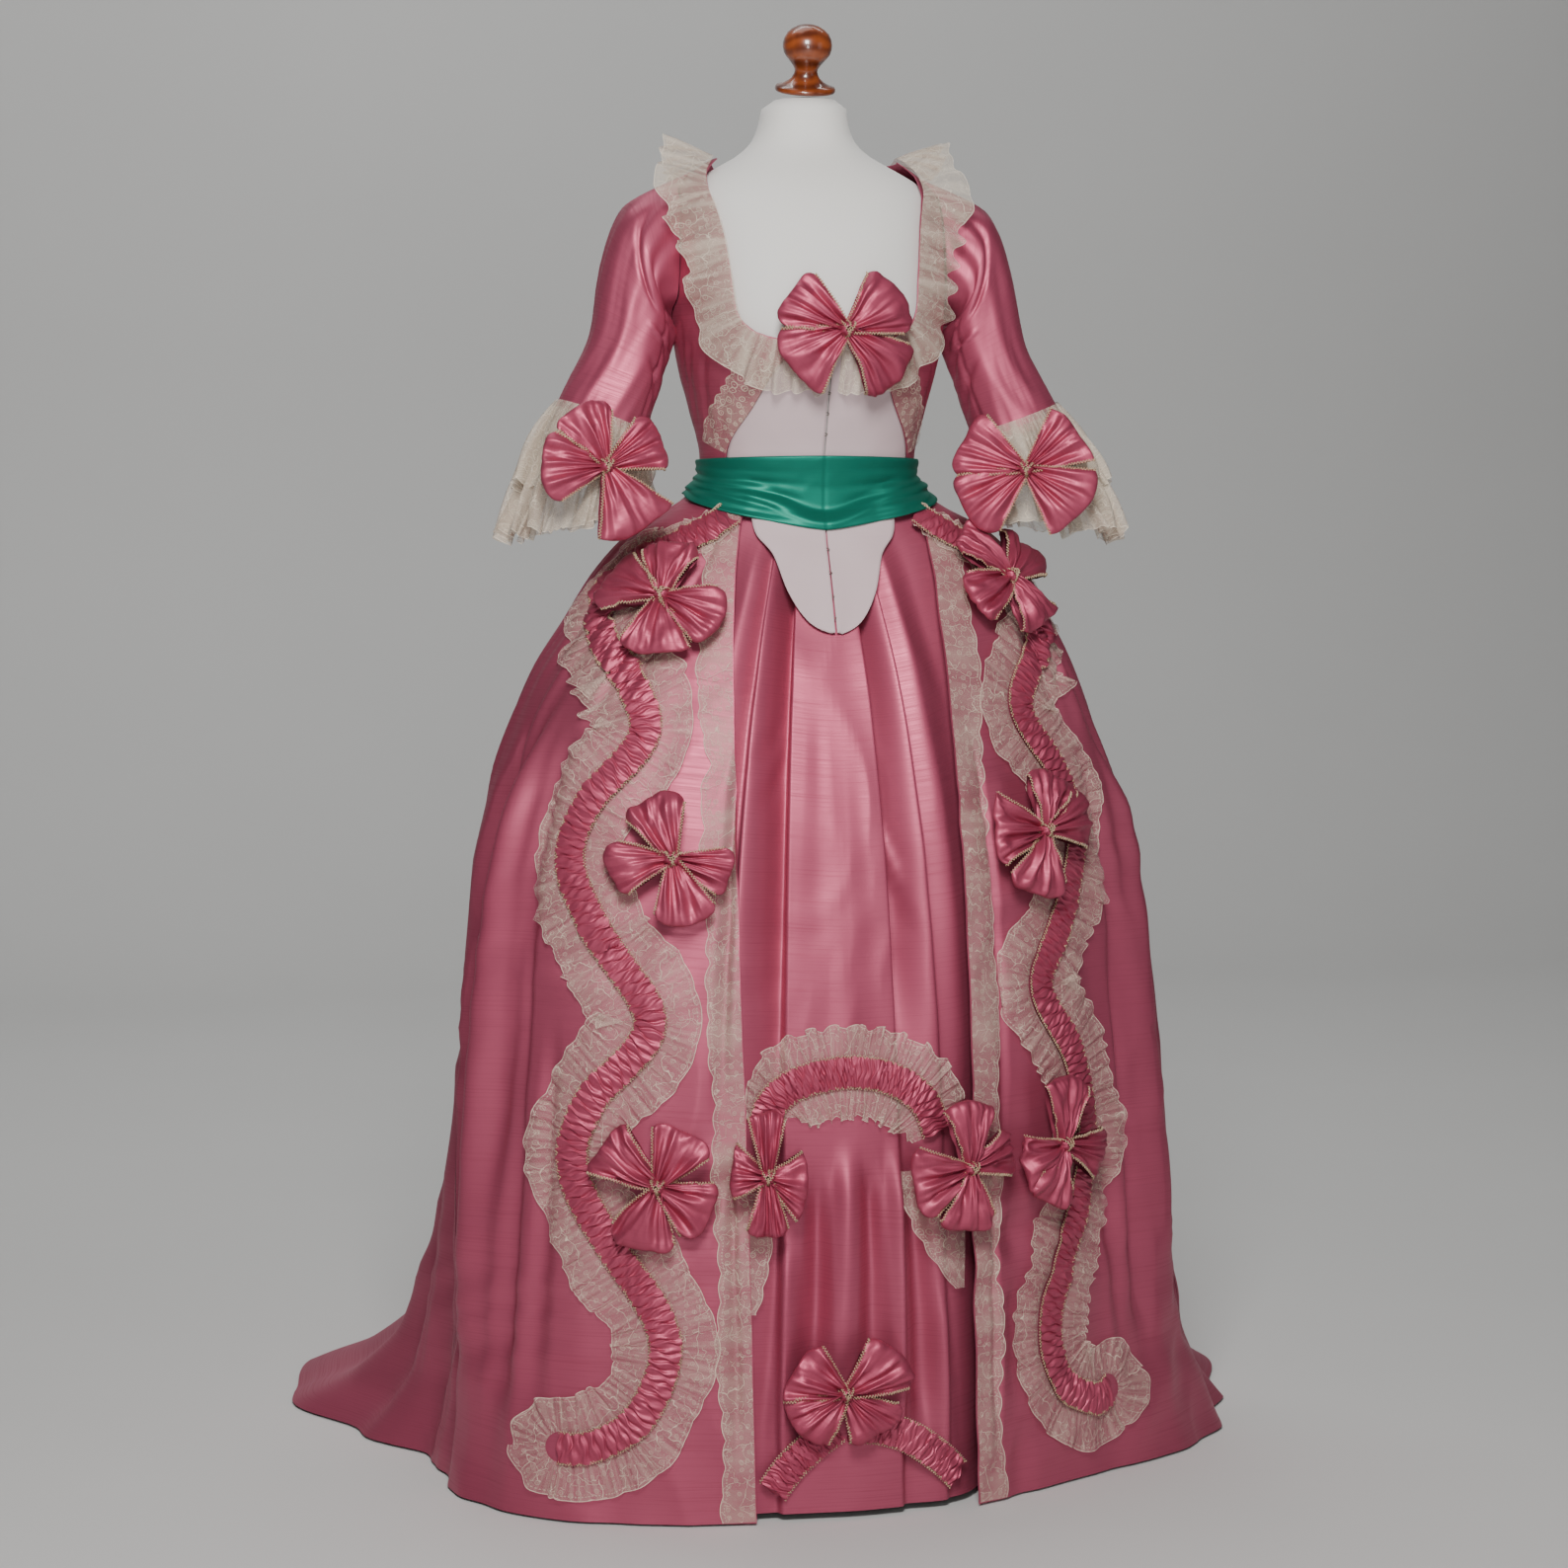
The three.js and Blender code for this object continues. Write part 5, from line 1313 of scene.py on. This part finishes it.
def neck_rise(s, w):
    turn = wander(s, NECK_FOLDS, 401)
    folds = w ** 0.8 * 6.2 * (1 + np.cos(turn)) + 1.8 * w * np.cos(wander(s, NECK_FOLDS * 2.3, 403))
    return 4.4 + folds + 38 * stands(s) * w


def neck_reach(s):
    edge = NECK_LACE + 2.5 * np.cos(s * 36 * math.pi) + 2.4 * np.abs(np.sin(s * math.pi * 60))
    return -edge * (1 - 0.42 * stands(s))


neck = strip(bodice, neck_route, NECK_FOLDS * 21, 13, 2, neck_reach, neck_rise,
             fan=lambda s, w: 2.4 * w * np.sin(wander(s, NECK_FOLDS, 401) + 1.3))
sew("neck_ruffle_lace", [neck], ruffle_lace, ["neck_ruffle"],
    free=[to_free_edge(neck)])

# %% [markdown]
# ## Bows
# Each bow is four loops of wide ribbon drawn into one knot, so every loop opens like a fan, with
# pleats that start at the knot and die out towards the rounded end. A loop is one strip that runs
# out, turns over and comes back underneath. Braid follows its two edges, and more of it binds
# the knot. Each bow has its own four directions, for they were tied by hand.

# %% Bow shapes
BOWS = (
    # name, surface, place on it, lift, half width and height, and each loop's direction in degrees
    ("chest", "bodice", (4, 1316), 14, 76, 74, (31, 150, 216, 322)),
    ("right_top", "gown", (-56, 1006), 14, 78, 76, (84, 166, -27, -97)),
    ("right_middle", "gown", (-40, 728), 14, 78, 74, (113, 190, -17, -80)),
    ("right_bottom", "gown", (-39, 378), 14, 76, 76, (142, 58, -29, -103)),
    ("left_top", "gown", (64, 1026), 14, 74, 68, (131, 32, 206, -66)),
    ("left_middle", "gown", (51.5, 749), 14, 78, 76, (68, 8, 176, -104)),
    ("left_bottom", "gown", (50.5, 396), 14, 70, 76, (86, 196, -112, -14)),
    ("petticoat_right", "gown", (-20, 388), 14, 44, 76, (92, 170, -6, -86)),
    ("petticoat_left", "gown", (23.5, 386), 14, 68, 74, (84, 14, 194, -97)),
    ("petticoat_hem", "petticoat", (-3.6, 145), 11, 76, 68, (150, 38, 220, -48)),
    ("sleeve_right", "sleeve", (96, 274), 34, 86, 84, (112, 28, 184, -60)),
    ("sleeve_left", "sleeve", (112, 268), 34, 86, 84, (35, 152, 216, -32)),
)
LOOP_SPREAD, LOOP_PUFF, KNOT_LIFT = math.radians(33), 10.0, 9


def tie_bow(surface, spot, lift, wide, tall, headings, seed):
    """The grids of a bow's loops and knot, and of its braid."""
    random = np.random.default_rng(seed)
    b, z = (np.array(float(value)) for value in spot)
    normal = frames(surface, b, z)[2]
    up = unit(place(0, 0, 1) - normal * normal[2])
    right = np.cross(up, normal)

    def seat(x, y, height):
        move = right * x[..., None] + up * y[..., None]
        return walk(surface, np.full(x.shape, b), np.full(x.shape, z), move, lift + height)

    def below(shape, depth):
        return seat(np.zeros(shape), np.zeros(shape), np.full(shape, -depth))

    loops, braids = [], []
    for heading in headings:
        heading = math.radians(heading + random.uniform(-4, 4))
        spread = LOOP_SPREAD * random.uniform(0.78, 1.12)
        puff = LOOP_PUFF * random.uniform(0.85, 1.2)
        phases = random.uniform(0, 2 * math.pi, 3)
        size = random.uniform(0.88, 1.06)
        blunt = random.uniform(0.03, 0.2)

        def loop(turn, t):
            """A loop of ribbon: turn runs out, over and back, and t from edge to edge."""
            out, front = 0.5 - 0.5 * np.cos(turn), np.sin(turn)
            edge = size * (0.96 + 0.06 * t ** 2 - blunt * t ** 6 + 0.03 * zigzag(t * 4 + phases[0]))
            pace = t * 8 + 1.5 * np.sin(2.6 * t + phases[0]) + phases[1]
            pleats = zigzag(pace + 0.9 * out) + 0.6 * zigzag(2.1 * pace + phases[2] - 1.6 * out)
            crease = pleats * (4.6 * smooth(out / 0.1) * (1 - 0.7 * out) + 0.3) * np.where(front > 0, 1, 0.4)
            dented = out * 55 + 90 * phases[0]
            dents = 3.4 * crumple(dented, t * 30, 30, 7) + 1.6 * crumple(dented, t * 30, 15, 9)
            crease = crease + dents * smooth(out * 2.5)
            body = np.where(front > 0, puff * np.abs(front) ** 0.8, 6.5 * front) * (1 - 0.3 * t ** 2)
            height = np.maximum(8.5 + 4 * out + body + crease, 0.6)
            narrow = 5.0 * t * (1 - out)
            bearing = heading + spread * t
            x = wide * out * edge * np.cos(bearing) - narrow * math.sin(heading)
            y = tall * out * edge * np.sin(bearing) + narrow * math.cos(heading)
            return seat(x, y, height)

        t, turn = lattice((-1, 1, 50), (0.12, 2 * math.pi - 0.12, 26))
        loops.append(loop(turn, t))
        turn = np.linspace(0.35, math.pi * 1.08, 60)
        for rim in (-0.985, 0.985):
            path = loop(turn, np.full_like(turn, rim))
            braids.append(braid_along(path, path - below(turn.shape, 60)))
    turn, t = lattice((0, 2 * math.pi, 28), (0, 1, 10), closed=True)
    swell = 8.5 * np.sin(math.pi * (0.12 + 0.38 * (1 - t))) * (1 + 0.09 * np.cos(turn * 7))
    knot = seat(swell * np.cos(turn), 0.9 * swell * np.sin(turn), KNOT_LIFT + 14 * np.sin(t * math.pi / 2))
    bend = np.linspace(0.1, math.pi - 0.1, 40)
    reach = 9.0 * np.cos(bend)
    for tilt in (-0.5, 0.1, 0.6):
        path = seat(reach * math.sin(tilt) + 4.5 * tilt, reach * math.cos(tilt),
                    KNOT_LIFT + 15.5 * np.sin(bend))
        braids.append(braid_along(path, path - below(bend.shape, 10), width=1.2, radius=0.8))
    return loops, knot, braids


def standing_off(surface, angle, down):
    """A flat face in front of a sleeve, for a bow that only its knot holds there."""
    angle, down = np.array(float(angle)), np.array(float(down))
    at = surface(angle, down)
    normal = unit(frames(surface, angle, down)[2] + 0.6 * place(0, -1, 0))
    up = unit(place(0, 0, 1) - normal * normal[2])
    right = np.cross(up, normal)

    def face(x, y):
        return at + right * np.asarray(x, float)[..., None] + up * np.asarray(y, float)[..., None]
    return face


for k, (name, kind, spot, lift, wide, tall, headings) in enumerate(BOWS):
    part, side = ("right", -1) if "right" in name else ("left", 1)
    surface, carrier = {
        "bodice": (bodice, "stomacher_left"), "gown": (gown_face, f"skirt_{part}"),
        "petticoat": (petticoat_face, "petticoat"), "sleeve": (sleeve(side), f"sleeve_{part}"),
    }[kind]
    if kind == "sleeve":
        surface, spot = standing_off(surface, *spot), (0, 0)
    loops, knot, braids = tie_bow(surface, spot, lift, wide, tall, headings, 500 + k)
    tied = braid_piece(f"braid_bow_{name}", braids)
    centre = piece_from(f"knot_{name}", [knot], closed=True)
    dress(centre, trim_silk)
    sew(f"ribbon_bow_{name}", loops, trim_silk, [f"bow_{name}"])
print("bows tied:", len(BOWS))

# %% [markdown]
# ## Hooks
# The stomacher's halves meet on small wire hooks, sewn just behind the edges. Only their bends
# show, as dark dots down the closing.

# %% Hooks down the closing
HOOK_HEIGHTS = (1268, 1245, 1222, 1199, 1066, 1040, 1014, 990)
HOOK_POINTS, BELOW_SASH = 14, 1150
bend = np.linspace(-0.6 * math.pi, 0.6 * math.pi, HOOK_POINTS)
wire = place(2.6 * np.cos(bend) - 1.2, 0, 1.8 * np.sin(bend))
hooks = []
for z in HOOK_HEIGHTS:
    surface, out = (bodice, 1.0) if z > BELOW_SASH else (petticoat_face, 6.0)
    b, z = np.zeros(HOOK_POINTS), np.full(HOOK_POINTS, float(z))
    path = walk(surface, b, z, wire, np.full(HOOK_POINTS, out))
    ahead = lifted(surface, b, z, np.full(HOOK_POINTS, 40.0)) - path
    hooks.append(braid_along(path, ahead, width=0.0, radius=0.55))
hook_piece = piece_from("closing_hooks", hooks, closed=True)
dress(hook_piece, hook_metal)
print("hooks:", len(hooks))

# %% [markdown]
# ## Floor, light and camera
# A plain pale floor and a soft light in front, above and a little to the wearer's right, show silk
# well: a broad source gives the wide smooth highlights that tell silk from cotton. A low one in
# front reaches the hem, a faint fill opposite keeps the troughs readable, and two more light the
# top and the backdrop. The camera stands a little to the wearer's right and looks slightly down,
# at a long focal length, as a catalogue picture would.

# %% Floor and backdrop
across = np.array([-9.0, 9.0])
bend = np.linspace(-math.pi / 2, 0, 14)
curve = [(4.0 + 1.5 * math.cos(a), 1.5 + 1.5 * math.sin(a)) for a in bend]
profile = [(-9.0, 0.0), (0.0, 0.0), *curve, (5.5, 8.0)]
sweep_mesh = bpy.data.meshes.new("studio_floor")
points = [(x, y, z) for y, z in profile for x in across]
faces = [(2 * k, 2 * k + 1, 2 * k + 3, 2 * k + 2) for k in range(len(profile) - 1)]
sweep_mesh.from_pydata(points, [], faces)
sweep_mesh.shade_smooth()
floor = bpy.data.objects.new("studio_floor", sweep_mesh)
bpy.context.collection.objects.link(floor)
floor_finish, tree, shader = new_material("pale paper", Roughness=0.8)
mottle = noise(tree, own_place(tree), 1.2, 3)
facing = ranged(tree, node(tree, "NewGeometry").outputs["Backfacing"], 0.0, 1.0, 1.0, 0.0)
surfaced(tree, shader, blended(tree, mottle, (0.60, 0.60, 0.59, 1), (0.64, 0.64, 0.63, 1)), Alpha=facing)
dress(floor, floor_finish)
print("backdrop:", len(faces), "faces")


# %% Lights
def soft_light(name, place_at, aim, size, power, colour=(1, 1, 1)):
    lamp = bpy.data.lights.new(name, "AREA")
    lamp.shape, lamp.size, lamp.size_y = "RECTANGLE", size[0], size[1]
    lamp.energy, lamp.color = power, colour
    holder = bpy.data.objects.new(name, lamp)
    bpy.context.collection.objects.link(holder)
    holder.location = place_at
    holder.rotation_euler = (Vector(aim) - Vector(place_at)).to_track_quat("-Z", "Y").to_euler()


WARM = (1.0, 0.985, 0.97)
soft_light("key", (-0.6, -2.8, 2.5), (0, 0, 1.0), (0.8, 1.0), 114, WARM)
soft_light("low", (-0.5, -3.5, 0.95), (0, 0, 0.5), (0.5, 1.0), 23, WARM)
soft_light("fill", (2.8, -2.4, 1.5), (0, 0, 0.85), (1.4, 2.0), 6)
soft_light("top", (-0.4, 0.8, 3.9), (0, 0, 1.0), (1.8, 1.8), 14)
soft_light("backdrop", (0.0, 1.6, 4.6), (0, 5.0, 1.8), (4.5, 1.0), 125)
world = bpy.data.worlds.new("studio")
bpy.context.scene.world = world
world.use_nodes = True
sky = world.node_tree
sky.nodes["Background"].inputs["Color"].default_value = (0.86, 0.87, 0.88, 1)
seen = node(sky, "LightPath").outputs["Is Camera Ray"]
sky.links.new(ranged(sky, seen, 0.0, 1.0, 0.05, 0.4), sky.nodes["Background"].inputs["Strength"])

# %% Camera
AZIMUTH, TILT = math.radians(11), math.radians(4.5)
DISTANCE, EYE_HEIGHT, ASIDE = 4.15, 1.12, 0.0265
SENSOR_WIDTH, FOCAL_TO_WIDTH = 36.0, 3600 / 1588
forward = Vector((math.sin(AZIMUTH), math.cos(AZIMUTH), 0))
rightward = Vector((math.cos(AZIMUTH), -math.sin(AZIMUTH), 0))
lens = bpy.data.cameras.new("camera")
lens.sensor_width, lens.lens = SENSOR_WIDTH, SENSOR_WIDTH * FOCAL_TO_WIDTH
camera = bpy.data.objects.new("camera", lens)
bpy.context.collection.objects.link(camera)
camera.location = -forward * DISTANCE - rightward * ASIDE + Vector((0, 0, EYE_HEIGHT))
camera.rotation_euler = (math.pi / 2 - TILT, 0, -AZIMUTH)
bpy.context.scene.camera = camera
print("camera at", [round(x, 3) for x in camera.location])

# %% Measure and finish
print("faces in all:", sum(len(mesh.polygons) for mesh in bpy.data.meshes))
